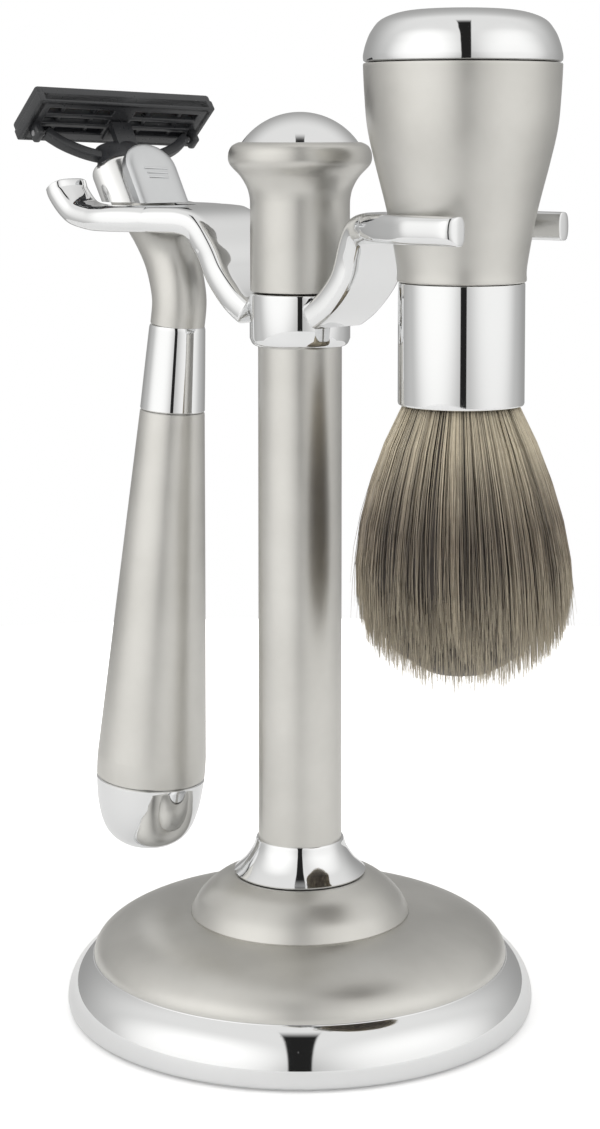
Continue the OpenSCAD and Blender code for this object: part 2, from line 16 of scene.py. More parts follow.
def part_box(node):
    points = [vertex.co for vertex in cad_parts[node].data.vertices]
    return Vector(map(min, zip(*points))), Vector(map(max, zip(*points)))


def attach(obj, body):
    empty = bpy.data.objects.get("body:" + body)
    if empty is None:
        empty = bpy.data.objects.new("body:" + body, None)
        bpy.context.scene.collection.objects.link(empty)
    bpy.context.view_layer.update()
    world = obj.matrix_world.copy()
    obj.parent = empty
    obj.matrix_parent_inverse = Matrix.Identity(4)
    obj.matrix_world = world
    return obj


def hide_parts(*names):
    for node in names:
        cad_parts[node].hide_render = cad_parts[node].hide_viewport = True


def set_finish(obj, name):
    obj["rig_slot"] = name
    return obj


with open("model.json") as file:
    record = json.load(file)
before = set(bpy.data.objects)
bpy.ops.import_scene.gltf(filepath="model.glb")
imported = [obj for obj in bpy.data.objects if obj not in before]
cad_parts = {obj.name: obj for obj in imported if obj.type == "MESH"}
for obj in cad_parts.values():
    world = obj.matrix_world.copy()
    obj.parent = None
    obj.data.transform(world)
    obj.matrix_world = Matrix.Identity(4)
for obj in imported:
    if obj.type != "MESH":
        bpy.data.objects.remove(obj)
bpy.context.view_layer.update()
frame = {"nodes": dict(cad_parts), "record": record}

MM = 0.001
TURN = 2 * math.pi

# %% [markdown]
# ## Driving sizes
# The packed frame gives the height and the radius of every upright turned piece. Only what leans, or
# what the frame can't say, is written here, in millimetres.

# %% Sizes that the frame doesn't give
RAZOR_X, RAZOR_YAW, RAZOR_ROLL, RAZOR_LEAN = 38.5, 13.0, 2.2, 3.3
ARM_T, NECK_R, NOSE_TILT, NOSE_X = 5.2, 5.4, 37.0, -7.0
PIVOT_UP, BACK_UP, CARTRIDGE_TILT, CARTRIDGE_X = 16.8, 1.57, 3.6, 2.0


def mm_box(node):
    """Lowest and highest corner of a node of the frame, in millimetres."""
    low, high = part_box(node)
    return low / MM, high / MM


PLATE_TOP = mm_box("brush_arm")[1].z
PLATE_Z = PLATE_TOP - ARM_T / 2
POST_R = mm_box("post_tube")[1].x
COLLAR_LOW, COLLAR_HIGH = mm_box("arm_collar")
BRUSH_LOW, BRUSH_HIGH = mm_box("brush_handle")
BRUSH_X = (BRUSH_LOW.x + BRUSH_HIGH.x) / 2
print("the forks' plates lie", round(PLATE_TOP, 1), "mm up, and the brush hangs", round(BRUSH_X, 1),
      "mm out")

# %% [markdown]
# ## Helpers
# An operator acts on all that is selected, so two small helpers say what is. A third kit adds and joins
# shader nodes in single lines, because every finish and the light itself need dozens of them.

# %% Selecting and adding
def only(*chosen):
    """Selects these objects and nothing else. The first becomes the active one."""
    bpy.ops.object.select_all(action="DESELECT")
    for piece in chosen:
        piece.select_set(True)
    if chosen:
        bpy.context.view_layer.objects.active = chosen[0]


def added(name, operator, **settings):
    """Adds an object with an operator, with nothing else selected, and names it."""
    only()
    operator(**settings)
    piece = bpy.context.object
    piece.name = name
    return piece


print("selected now:", len(bpy.context.selected_objects), "objects")

# %% A small kit for shader nodes
class Tree:
    """A node tree, with short ways to add and join nodes."""

    def __init__(self, tree):
        self.tree = tree

    def add(self, kind, inputs=(), **settings):
        node = self.tree.nodes.new(kind)
        for key, value in settings.items():
            setattr(node, key, value)
        for key, value in dict(inputs).items():
            self.join(value, node.inputs[key])
        return node

    def join(self, value, socket):
        if isinstance(value, bpy.types.NodeSocket):
            self.tree.links.new(value, socket)
        else:
            socket.default_value = value

    def math(self, operation, *values):
        return self.add("ShaderNodeMath", {i: v for i, v in enumerate(values)},
                        operation=operation).outputs[0]

    def spread(self, value, low, high, to_low, to_high):
        return self.add("ShaderNodeMapRange", {"Value": value, "From Min": low, "From Max": high,
                                               "To Min": to_low, "To Max": to_high}).outputs["Result"]


print("a node kit with", sorted(name for name in vars(Tree) if not name.startswith("_")))

# %% [markdown]
# ## Camera
# The camera comes first, so that every render shows the same view. It looks along the azimuth of
# 42 degrees, level with the cartridge. A real studio camera would be shifted to keep the post upright.
# Here the work is shared between a small shift and a slight nod.

# %% The camera
CAMERA_AZIMUTH, CAMERA_UP, CAMERA_AWAY = math.radians(42), 169.5, 446.5
FOCAL, SHIFT_DOWN = 74.9, 0.22
HORIZON = 0.385           # how far the horizon lies above the middle of the frame, in frame heights
SENSOR = 36.0
to_camera = Vector((math.sin(CAMERA_AZIMUTH), -math.cos(CAMERA_AZIMUTH), 0))
camera_right = Vector((math.cos(CAMERA_AZIMUTH), math.sin(CAMERA_AZIMUTH), 0))
nod = math.atan((HORIZON - SHIFT_DOWN) * SENSOR / FOCAL)
camera = added(
    "Camera", bpy.ops.object.camera_add,
    location=(to_camera * CAMERA_AWAY + Vector((0, 0, CAMERA_UP))) * MM,
    rotation=(math.pi / 2 - nod, 0, CAMERA_AZIMUTH),
)
camera.data.lens = FOCAL
camera.data.sensor_width = SENSOR
camera.data.shift_y = -SHIFT_DOWN
camera.data.clip_start = 0.01
bpy.context.scene.camera = camera
print("the camera nods", round(math.degrees(nod), 2), "degrees")

# %% [markdown]
# ## Light
# Plated metal shows nothing but its surroundings, so the light is a tent: white all round, brighter
# above, greyer behind, with one narrow dark slit where the camera looks in. That slit is the black
# line down the middle of every polished cylinder. The tent is the world itself, because a world lights
# every piece evenly and costs nothing. The camera sees plain white in its place.

# %% The light tent
bpy.context.scene.view_settings.view_transform = "Standard"
world = bpy.data.worlds.new("light_tent")
bpy.context.scene.world = world
world.use_nodes = True
tent = Tree(world.node_tree)
tent.tree.nodes.clear()
sky = tent.add("ShaderNodeTexCoord").outputs["Generated"]


def along(direction):
    """How far the sky direction points along a fixed direction, from -1 to 1."""
    return tent.add("ShaderNodeVectorMath", {0: sky, 1: direction},
                    operation="DOT_PRODUCT").outputs["Value"]


def steps_up(value, start, end):
    """0 below start, 1 above end, smooth between."""
    limits = {"Value": value, "From Min": start, "From Max": end}
    return tent.add("ShaderNodeMapRange", limits, interpolation_type="SMOOTHSTEP").outputs["Result"]


front = along(to_camera)
side = tent.math("ABSOLUTE", along(camera_right))
up = along((0, 0, 1))
SLIT_HALF, SLIT_SOFT = 0.085, 0.02
beside_slit = steps_up(side, SLIT_HALF, SLIT_HALF + SLIT_SOFT)
behind_slit = tent.math("SUBTRACT", 1.0, steps_up(front, 0.0, 0.3))
walls = tent.math("MAXIMUM", beside_slit, behind_slit)

# The wall is brighter towards the top, and glows left and right of the camera. Each glow is given by
# its turn from the camera in degrees, how far up it points, and its strength.
WALL_LOW, WALL_RISE, REAR_LOSS, IN_THE_SLIT = 0.60, 0.30, 0.42, 0.02
GLOWS = ((-52, 0.15, 0.62), (58, 0.12, 0.48))
brightness = tent.math("ADD", tent.math("MULTIPLY", steps_up(up, 0.0, 0.9), WALL_RISE), WALL_LOW)
for turn_away, glow_up, strength in GLOWS:
    azimuth = CAMERA_AZIMUTH + math.radians(turn_away)
    lobe = along(Vector((math.sin(azimuth), -math.cos(azimuth), glow_up)).normalized())
    brightness = tent.math("ADD", brightness, tent.math("MULTIPLY", steps_up(lobe, 0.55, 1.0), strength))
rearward = steps_up(tent.math("MULTIPLY", front, -1.0), 0.25, 0.95)
rear = tent.math("SUBTRACT", 1.0, tent.math("MULTIPLY", rearward, REAR_LOSS))
wall_light = tent.math("MULTIPLY", tent.math("MULTIPLY", brightness, rear), walls)
lamp = tent.add("ShaderNodeBackground", {
    "Strength": tent.math("ADD", wall_light, IN_THE_SLIT), "Color": (1.0, 0.995, 0.98, 1)})
plain = tent.add("ShaderNodeBackground", {"Strength": 1.0, "Color": (1, 1, 1, 1)})
seen = tent.add("ShaderNodeLightPath").outputs["Is Camera Ray"]
choose = tent.add("ShaderNodeMixShader", {0: seen, 1: lamp.outputs[0], 2: plain.outputs[0]})
tent.add("ShaderNodeOutputWorld", {"Surface": choose.outputs[0]})
print("the tent has", len(tent.tree.nodes), "nodes")

# %% [markdown]
# Three soft boxes light what isn't metal, and give the floor its faint shadow. Metal would show them as
# hard white rectangles, so they are hidden from reflections, and two broad glows on the tent's walls
# give the plating its highlights instead.

# %% Three soft boxes
LIGHTS_AIM = Vector((0, 0, 110))


def soft_box(name, azimuth, up_mm, away_mm, width_mm, power):
    """An upright soft box, twice as high as wide, that looks at the middle of the stand."""
    place = Vector((math.sin(azimuth), -math.cos(azimuth), 0)) * away_mm + Vector((0, 0, up_mm))
    box = added(name, bpy.ops.object.light_add, type="AREA", location=place * MM)
    box.data.shape = "RECTANGLE"
    box.data.size = width_mm * MM
    box.data.size_y = width_mm * 2 * MM
    box.data.energy = power
    box.rotation_euler = (LIGHTS_AIM - place).to_track_quat("-Z", "Y").to_euler()
    box.visible_glossy = False
    return box


boxes = [soft_box("soft_box_left", CAMERA_AZIMUTH - math.radians(52), 260, 800, 420, 1.25),
         soft_box("soft_box_right", CAMERA_AZIMUTH + math.radians(58), 240, 800, 380, 0.95),
         soft_box("soft_box_top", CAMERA_AZIMUTH, 800, 60, 420, 0.9)]
print(len(boxes), "soft boxes of", [round(box.data.energy, 2) for box in boxes], "W")

# %% [markdown]
# ## Working in edit mode
# The pieces below are made the way one would make them by hand. A turned part is one point, extruded
# along its outline and spun. The outline itself is a short list of radii and heights: `flow` runs a
# smooth curve through the few points that matter, and `eased` breaks each sharp corner with a small
# round, because a machined edge that catches no light looks like a drawing.

# %% Outlines
def flow(points, steps=6):
    """A smooth curve through the points (Catmull-Rom)."""
    points = [Vector(p) for p in points]
    smooth = []
    for i in range(len(points) - 1):
        a, b = points[max(i - 1, 0)], points[i]
        c, d = points[i + 1], points[min(i + 2, len(points) - 1)]
        for s in range(steps):
            t = s / steps
            smooth.append(0.5 * (2 * b + (c - a) * t + (2 * a - 5 * b + 4 * c - d) * t * t
                                 + (3 * b - a - 3 * c + d) * t ** 3))
    return smooth + [points[-1]]


def eased(points, radius=0.25, steps=4, sharp=25):
    """The outline with each corner over `sharp` degrees rounded off."""
    points = [Vector(p) for p in points]
    soft = [points[0]]
    for before, corner, after in zip(points, points[1:], points[2:]):
        back, on = before - corner, after - corner
        if back.length < 1e-9 or on.length < 1e-9:
            continue
        bend = 180 - math.degrees(back.angle(on))
        if bend < sharp:
            soft.append(corner)
            continue
        reach = min(radius, back.length * 0.45, on.length * 0.45)
        start, end = corner + back.normalized() * reach, corner + on.normalized() * reach
        for s in range(steps + 1):
            t = s / steps
            soft.append(start * (1 - t) ** 2 + corner * 2 * t * (1 - t) + end * t * t)
    return soft + [points[-1]]


print("a curve through 3 points has", len(flow([(0, 0), (1, 1), (2, 0)])), "points")

# %% Turning
def finish_mesh(piece, angle=32):
    """Merges doubles, points every face outwards and shades the piece smooth but for its sharp edges."""
    only(piece)
    bpy.ops.object.mode_set(mode="EDIT")
    bpy.ops.mesh.select_all(action="SELECT")
    bpy.ops.mesh.remove_doubles(threshold=0.002 * MM)
    bpy.ops.mesh.normals_make_consistent(inside=False)
    bpy.ops.object.mode_set(mode="OBJECT")
    bpy.ops.object.shade_smooth_by_angle(angle=math.radians(angle))


def settle(piece, place):
    """Moves a finished piece to its place, and leaves its object at the origin."""
    only(piece)
    piece.matrix_world = place
    bpy.ops.object.transform_apply(location=True, rotation=True, scale=True)


def turned(name, outline, place=Matrix(), segments=128):
    """Spins an outline of (radius, height) points, in millimetres, about the upright line."""
    piece = added(name, bpy.ops.mesh.primitive_plane_add, size=MM)
    bpy.ops.object.mode_set(mode="EDIT")
    bpy.ops.mesh.select_mode(type="VERT")
    bpy.ops.mesh.select_all(action="SELECT")
    bpy.ops.mesh.merge(type="CENTER")
    first = outline[0]
    bpy.ops.transform.translate(value=(first[0] * MM, 0, first[1] * MM))
    for a, b in zip(outline, outline[1:]):
        bpy.ops.mesh.extrude_region_move(
            TRANSFORM_OT_translate={"value": ((b[0] - a[0]) * MM, 0, (b[1] - a[1]) * MM)})
    bpy.ops.mesh.select_all(action="SELECT")
    bpy.ops.mesh.spin(steps=segments, angle=TURN, center=(0, 0, 0), axis=(0, 0, 1))
    bpy.ops.object.mode_set(mode="OBJECT")
    finish_mesh(piece)
    settle(piece, place)
    return piece


pieces = {}


def keep(piece, body, slot, *nodes):
    """Says what a finished piece rides on, which finish it has and which nodes it stands for."""
    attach(piece, body)
    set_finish(piece, slot)
    if nodes:
        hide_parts(*nodes)
    pieces[piece.name] = piece
    print(piece.name, "has", len(piece.data.polygons), "faces",
          [round(d / MM, 1) for d in piece.dimensions])


print("pieces kept so far:", len(pieces))

# %% [markdown]
# ## Finishes
# Three effects are shared by several finishes, so each is a node group: the grain of a blasted or
# moulded surface, the fine rings that turning leaves, and the smears and dust that handling leaves.
# They put out masks and values only, and each finish keeps its own shader.

# %% How a node group starts
def new_group(name, inputs, outputs):
    """An empty node group. Inputs are names with default values."""
    group = bpy.data.node_groups.new(name, "ShaderNodeTree")
    for label, value in inputs.items():
        socket = group.interface.new_socket(label, in_out="INPUT", socket_type="NodeSocketFloat")
        socket.default_value = value
    for label in outputs:
        group.interface.new_socket(label, in_out="OUTPUT", socket_type="NodeSocketFloat")
    tree = Tree(group)
    return group, tree, tree.add("NodeGroupInput").outputs, tree.add("NodeGroupOutput").inputs


print("node groups so far:", len(bpy.data.node_groups))

# %% The grain of a blasted or moulded surface
grain_group, g, given, result = new_group("grain", {"Scale": 3000.0}, ["Height", "Cloud"])
place = g.add("ShaderNodeTexCoord").outputs["Object"]
fine = g.add("ShaderNodeTexNoise",
             {"Vector": place, "Scale": given["Scale"], "Detail": 3.0, "Roughness": 0.6})
cloud = g.add("ShaderNodeTexNoise", {"Vector": place, "Scale": 60.0, "Detail": 4.0, "Roughness": 0.55})
g.join(fine.outputs["Fac"], result["Height"])
g.join(cloud.outputs["Fac"], result["Cloud"])
print("grain has", len(grain_group.nodes), "nodes")

# %% The rings that turning leaves
rings_group, g, given, result = new_group("turning_rings", {"Pitch": 5200.0}, ["Height"])
place = g.add("ShaderNodeTexCoord").outputs["Object"]
parts = g.add("ShaderNodeSeparateXYZ", {0: place}).outputs
wander = g.add("ShaderNodeCombineXYZ",
               {"X": g.math("MULTIPLY", parts["X"], 14.0), "Y": g.math("MULTIPLY", parts["Y"], 14.0),
                "Z": g.math("MULTIPLY", parts["Z"], given["Pitch"])})
lines = g.add("ShaderNodeTexNoise",
              {"Vector": wander.outputs[0], "Scale": 1.0, "Detail": 2.0, "Roughness": 0.7})
g.join(lines.outputs["Fac"], result["Height"])
print("turning_rings has", len(rings_group.nodes), "nodes")

# %% Smears and dust from handling
handling_group, g, given, result = new_group("handling", {"Amount": 0.5}, ["Smear", "Dust"])
place = g.add("ShaderNodeTexCoord").outputs["Object"]
stretched = g.add("ShaderNodeMapping", {"Vector": place, "Scale": (1.0, 1.0, 0.55)}).outputs[0]
smear = g.add("ShaderNodeTexNoise",
              {"Vector": stretched, "Scale": 95.0, "Detail": 5.0, "Roughness": 0.62, "Distortion": 0.6})
smear_mask = g.spread(smear.outputs["Fac"], 0.52, 0.72, 0.0, 1.0)
g.join(g.math("MULTIPLY", smear_mask, given["Amount"]), result["Smear"])
dust = g.add("ShaderNodeTexVoronoi", {"Vector": place, "Scale": 620.0})
patch = g.add("ShaderNodeTexNoise", {"Vector": place, "Scale": 40.0, "Detail": 2.0})
specks = g.math("MULTIPLY", g.spread(dust.outputs["Distance"], 0.05, 0.09, 1.0, 0.0),
                g.spread(patch.outputs["Fac"], 0.5, 0.62, 0.0, 1.0))
g.join(g.math("MULTIPLY", specks, given["Amount"]), result["Dust"])
print("handling has", len(handling_group.nodes), "nodes")

# %% One way to start every finish
def finish(name, **constants):
    """A new material with its shader. Constants are set on the shader's own sockets."""
    material = bpy.data.materials.new(name)
    material.use_nodes = True
    tree = Tree(material.node_tree)
    shader = material.node_tree.nodes["Principled BSDF"]
    for key, value in constants.items():
        shader.inputs[key.replace("_", " ")].default_value = value
    return material, tree, shader


def use(tree, group, **values):
    node = tree.add("ShaderNodeGroup", node_tree=group)
    for key, value in values.items():
        node.inputs[key].default_value = value
    return node.outputs


def tint(tree, mask, first, second):
    """A colour that goes from the first to the second with the mask."""
    mix = tree.add("ShaderNodeMix", {"Factor": mask}, data_type="RGBA")
    mix.inputs["A"].default_value = (*first, 1)
    mix.inputs["B"].default_value = (*second, 1)
    return mix.outputs["Result"]


def bump(tree, height, distance, strength=1.0):
    return tree.add("ShaderNodeBump",
                    {"Height": height, "Distance": distance, "Strength": strength}).outputs["Normal"]


print("materials so far:", len(bpy.data.materials))

# %% Satin nickel
def satin(name, dark, light, rough, rings=True):
    material, t, shader = finish(name, Metallic=1.0)
    grain = use(t, grain_group, Scale=2600.0)
    handled = use(t, handling_group, Amount=0.5)
    height = grain["Height"]
    if rings:
        height = t.math("ADD", t.math("MULTIPLY", height, 0.6),
                        t.math("MULTIPLY", use(t, rings_group, Pitch=4200.0)["Height"], 0.5))
    t.join(tint(t, t.spread(grain["Cloud"], 0.35, 0.65, 0.0, 1.0), dark, light),
           shader.inputs["Base Color"])
    roughness = t.math("ADD", t.spread(grain["Cloud"], 0.3, 0.7, rough - 0.025, rough + 0.03),
                       t.math("MULTIPLY", handled["Smear"], 0.05))
    t.join(t.math("ADD", roughness, t.math("MULTIPLY", handled["Dust"], 0.25)),
           shader.inputs["Roughness"])
    t.join(bump(t, height, 0.000006, 0.6), shader.inputs["Normal"])
    return material


finishes = {}
finishes["satin_nickel"] = satin("satin_nickel", (0.60, 0.59, 0.56), (0.66, 0.65, 0.62), 0.37)
finishes["silver_plastic"] = satin("silver_plastic", (0.60, 0.61, 0.62), (0.66, 0.67, 0.68), 0.34,
                                   rings=False)
finishes["plain_steel"] = satin("plain_steel", (0.40, 0.40, 0.41), (0.50, 0.50, 0.51), 0.42)
finishes["brass"] = satin("brass", (0.60, 0.42, 0.18), (0.70, 0.52, 0.26), 0.36)
finishes["weight_iron"] = satin("weight_iron", (0.10, 0.10, 0.105), (0.17, 0.165, 0.16), 0.62,
                                rings=False)
finishes["blade_steel"] = satin("blade_steel", (0.62, 0.63, 0.65), (0.70, 0.71, 0.73), 0.24, rings=False)
print("satin finishes", sorted(finishes))

# %% Polished plating
def polished(name, colour, rough):
    material, t, shader = finish(name, Metallic=1.0)
    handled = use(t, handling_group, Amount=0.6)
    grain = use(t, grain_group, Scale=500.0)
    t.join(tint(t, t.spread(grain["Cloud"], 0.3, 0.7, 0.0, 1.0), tuple(c * 0.985 for c in colour),
                colour), shader.inputs["Base Color"])
    wiped = t.math("ADD", t.math("MULTIPLY", handled["Smear"], 0.035), rough)
    t.join(t.math("ADD", wiped, t.math("MULTIPLY", handled["Dust"], 0.3)), shader.inputs["Roughness"])
    t.join(bump(t, grain["Cloud"], 0.00002, 0.12), shader.inputs["Normal"])
    return material


finishes["polished_chrome"] = polished("polished_chrome", (0.80, 0.805, 0.81), 0.035)
finishes["pearl_plastic"] = polished("pearl_plastic", (0.86, 0.86, 0.855), 0.16)
print("finishes so far", sorted(finishes))

# %% Plastics, rubber, resin and the lubricating strip
def moulded(name, dark, light, rough, grain_scale, depth, **constants):
    material, t, shader = finish(name, **constants)
    grain = use(t, grain_group, Scale=grain_scale)
    handled = use(t, handling_group, Amount=0.8)
    base = tint(t, t.spread(grain["Cloud"], 0.3, 0.7, 0.0, 1.0), dark, light)
    dusty = t.add("ShaderNodeMix", {"Factor": t.math("MULTIPLY", handled["Dust"], 0.5)}, data_type="RGBA")
    t.join(base, dusty.inputs["A"])
    dusty.inputs["B"].default_value = (0.35, 0.34, 0.33, 1)
    t.join(dusty.outputs["Result"], shader.inputs["Base Color"])
    t.join(t.math("ADD", t.spread(grain["Height"], 0.3, 0.7, rough - 0.04, rough + 0.05),
                  t.math("MULTIPLY", handled["Smear"], 0.08)), shader.inputs["Roughness"])
    t.join(bump(t, grain["Height"], depth, 0.7), shader.inputs["Normal"])
    return material


finishes["black_plastic"] = moulded("black_plastic", (0.018, 0.019, 0.021), (0.03, 0.031, 0.034), 0.30,
                                    1800.0, 0.00001, Specular_IOR_Level=0.5)
finishes["black_rubber"] = moulded("black_rubber", (0.02, 0.022, 0.028), (0.032, 0.035, 0.042), 0.55,
                                   1500.0, 0.00002)
finishes["foot_rubber"] = moulded("foot_rubber", (0.03, 0.03, 0.03), (0.05, 0.05, 0.05), 0.7, 900.0,
                                  0.00004)
finishes["resin"] = moulded("resin", (0.20, 0.14, 0.07), (0.30, 0.22, 0.12), 0.25, 400.0, 0.00001,
                            Coat_Weight=0.4)
finishes["lubricant_strip"] = moulded("lubricant_strip", (0.58, 0.74, 0.77), (0.70, 0.83, 0.85), 0.32,
                                      1100.0, 0.00002, Subsurface_Weight=0.12)
print("finishes so far", sorted(finishes))

# %% [markdown]
# The hair's colours are painted on its own vertices as it is grown: blond at the root and the tip with a
# dark grey-brown band between, as on a real knot. The material only adds a little unevenness.

# %% Hair
material, t, shader = finish("bristle", Roughness=0.42, Specular_IOR_Level=0.35, Sheen_Weight=0.15,
                             Sheen_Roughness=0.4)
painted = t.add("ShaderNodeVertexColor", layer_name="strand").outputs["Color"]
uneven = use(t, grain_group, Scale=700.0)
vary = t.add("ShaderNodeMix", {"Factor": t.spread(uneven["Height"], 0.4, 0.75, 0.0, 0.35)},
             data_type="RGBA", blend_type="MULTIPLY")
t.join(painted, vary.inputs["A"])
vary.inputs["B"].default_value = (0.55, 0.5, 0.45, 1)
t.join(vary.outputs["Result"], shader.inputs["Base Color"])
t.join(bump(t, uneven["Height"], 0.00001, 0.4), shader.inputs["Normal"])
finishes["bristle"] = material

for name, node in frame["nodes"].items():
    slot_name = next(row["material_slot"] for row in frame["record"]["subparts"] if row["node"] == name)
    node.data.materials.clear()
    node.data.materials.append(finishes[slot_name])
print(len(finishes), "finishes on", len(frame["nodes"]), "nodes of the frame")

# %% [markdown]
# The floor is a pale, plain disc. To the camera it brightens away from the object, until it can't be
# told from the tent. The metal sees it without that glow.

# %% The floor
FLOOR_R = 360.0
floor_material, t, shader = finish("pale_floor", Base_Color=(0.90, 0.90, 0.90, 1), Roughness=0.6,
                                   Emission_Color=(1, 1, 1, 1))
away = t.add("ShaderNodeVectorMath", {0: t.add("ShaderNodeTexCoord").outputs["Object"]},
             operation="LENGTH").outputs["Value"]
glow = t.add("ShaderNodeMapRange",
             {"Value": away, "From Min": 0.04, "From Max": 0.26, "To Min": 0.30, "To Max": 0.9},
             interpolation_type="SMOOTHSTEP")
seen_plainly = t.add("ShaderNodeLightPath").outputs["Is Camera Ray"]
t.join(t.math("MULTIPLY", glow.outputs["Result"], seen_plainly), shader.inputs["Emission Strength"])
floor = added("floor", bpy.ops.mesh.primitive_circle_add, vertices=128, radius=FLOOR_R * MM,
              fill_type="NGON")
floor.data.materials.append(floor_material)
print("the floor is", round(floor.dimensions.x / MM), "mm across")

# %% [markdown]
# ## The stand's turned pieces
# Each piece takes its widest radius and its heights from the frame. Between neighbours there is a seam:
# both edges are broken by a small round, so a fine dark line appears where two pieces meet.

# %% The foot
rim_low, rim_high = mm_box("base_rim")
dome_high = mm_box("base_dome")[1]
step_low, step_high = mm_box("base_step")
SEAM_R = dome_high.x
rim_r, rim_top, rim_foot = rim_high.x, rim_high.z, rim_low.z
BEAD, RIM_REACH, RIM_ARC, RIM_STEPS = 2.1, 9, 1.152, 24
rim_rise = (rim_top - rim_foot - BEAD) / math.sin(RIM_ARC)
rim_side = [(rim_r - RIM_REACH * (1 - math.cos(a)), rim_foot + BEAD + rim_rise * math.sin(a))
            for a in (RIM_ARC * i / RIM_STEPS for i in range(RIM_STEPS + 1))]
rim = turned("rim", eased([(20, rim_foot + 1.2), (rim_r - 3.4, rim_foot + 1.2), (rim_r - 3, rim_foot),
                           (rim_r - 0.9, rim_foot)] + [(rim_r - 0.25, rim_foot + 0.7)] + rim_side
                          + [(SEAM_R + 0.1, rim_top - 0.1), (SEAM_R + 0.1, rim_top - 1.5),
                             (SEAM_R - 2, rim_top - 1.5)], 0.3), segments=192)
keep(rim, "stand", "polished_chrome", "base_rim")

edge, top = SEAM_R - 0.12, dome_high.z
step_r = step_low.x * -1
dome_side = [(edge - (edge - step_r) * (1 - math.cos(a)), rim_top + (top - rim_top) * math.sin(a))
             for a in (math.pi / 2 * i / 28 for i in range(29))]
dome = turned("dome", eased([(edge - 0.5, rim_top - 1.4), (edge, rim_top - 1.2), (edge, rim_top - 0.25)]
                            + dome_side[1:] + [(step_r - 3, top)], 0.2), segments=192)
keep(dome, "stand", "satin_nickel", "base_dome")

collar_low, collar_high = mm_box("foot_collar")
flare_r = collar_high.x
step_rise = step_high.z - top
step_side = flow([(step_r - 0.15, top + 0.25), (step_r - 1.8, top + step_rise * 0.4),
                  (step_r - 4.8, top + step_rise * 0.76), (flare_r + 0.5, step_high.z - 0.08)], 8)
step = turned("step", [(step_r - 1.5, top - 0.6), (step_r - 0.25, top - 0.1)] + step_side
              + [(flare_r - 0.2, step_high.z - 0.1), (flare_r - 2, step_high.z - 0.1)], segments=160)
keep(step, "stand", "satin_nickel", "base_step")

foot_h = collar_high.z - collar_low.z
flare = turned("foot_flare",
               [(POST_R - 1, collar_low.z + 0.1), (flare_r - 0.4, collar_low.z - 0.02),
                (flare_r - 0.1, collar_low.z + 0.15)]
               + flow([(flare_r, collar_low.z + 0.4), (POST_R + 2.7, collar_low.z + foot_h * 0.34),
                       (POST_R + 1.1, collar_low.z + foot_h * 0.7), (POST_R + 0.5, collar_high.z - 0.2)],
                      8) + [(POST_R + 0.35, collar_high.z), (POST_R - 0.5, collar_high.z)], segments=128)
keep(flare, "stand", "polished_chrome", "foot_collar")

# %% The post, the arm collar and the finial
post_high = mm_box("post_tube")[1]
post = turned("post", [(POST_R - 0.6, collar_low.z + 2), (POST_R, collar_low.z + 2.2),
                       (POST_R, post_high.z - 0.2), (POST_R - 0.6, post_high.z)])
keep(post, "stand", "satin_nickel", "post_tube")

collar_r = COLLAR_HIGH.x
low_z, high_z = COLLAR_LOW.z, COLLAR_HIGH.z
collar = turned("arm_ring",
                eased([(POST_R - 0.5, low_z), (collar_r - 1.7, low_z), (collar_r - 0.5, low_z + 0.5),
                       (collar_r, low_z + 1.7), (collar_r, high_z - 0.12),
                       (collar_r - 1.5, high_z - 0.1)], 0.5, 6))
keep(collar, "stand", "polished_chrome", "arm_collar")

sleeve_low, sleeve_high = mm_box("finial_body")
sleeve_r, bulge_r = collar_r - 0.1, sleeve_high.x
base, h = sleeve_low.z, sleeve_high.z - sleeve_low.z
finial = turned("finial",
                [(sleeve_r - 1.5, base + 0.05), (sleeve_r - 0.35, base + 0.1),
                 (sleeve_r - 0.05, base + 0.3), (sleeve_r, base + 0.7)]
                + flow([(sleeve_r, base + h - 12), (sleeve_r + 0.08, base + h - 10.6),
                        (sleeve_r + 0.55, base + h - 8.7), (sleeve_r + 1.8, base + h - 6.5),
                        (bulge_r - 0.3, base + h - 4.2), (bulge_r, base + h - 2.4),
                        (bulge_r - 0.55, base + h - 0.9), (bulge_r - 1.7, base + h - 0.15),
                        (bulge_r - 2.5, base + h)], 8) + [(bulge_r - 4, base + h - 0.1)])
keep(finial, "stand", "satin_nickel", "finial_body")

dome_h = mm_box("finial_dome")[1].z - sleeve_high.z
cap_r = bulge_r - 2.6
ball = (cap_r ** 2 + dome_h ** 2) / (2 * dome_h)
reach = math.asin(cap_r / ball)
knob = turned("finial_top",
              [(cap_r - 1.2, sleeve_high.z - 0.5), (cap_r - 0.12, sleeve_high.z - 0.1)]
              + [(ball * math.sin(reach * t / 24),
                  sleeve_high.z + dome_h - ball * (1 - math.cos(reach * t / 24)))
                 for t in range(24, -1, -1)])
keep(knob, "stand", "polished_chrome", "finial_dome")

# %% [markdown]
# ## The brush
# The handle's outline runs through the seat that the fork holds. Its waist goes on down as the
# ferrule, and the cap closes it above.

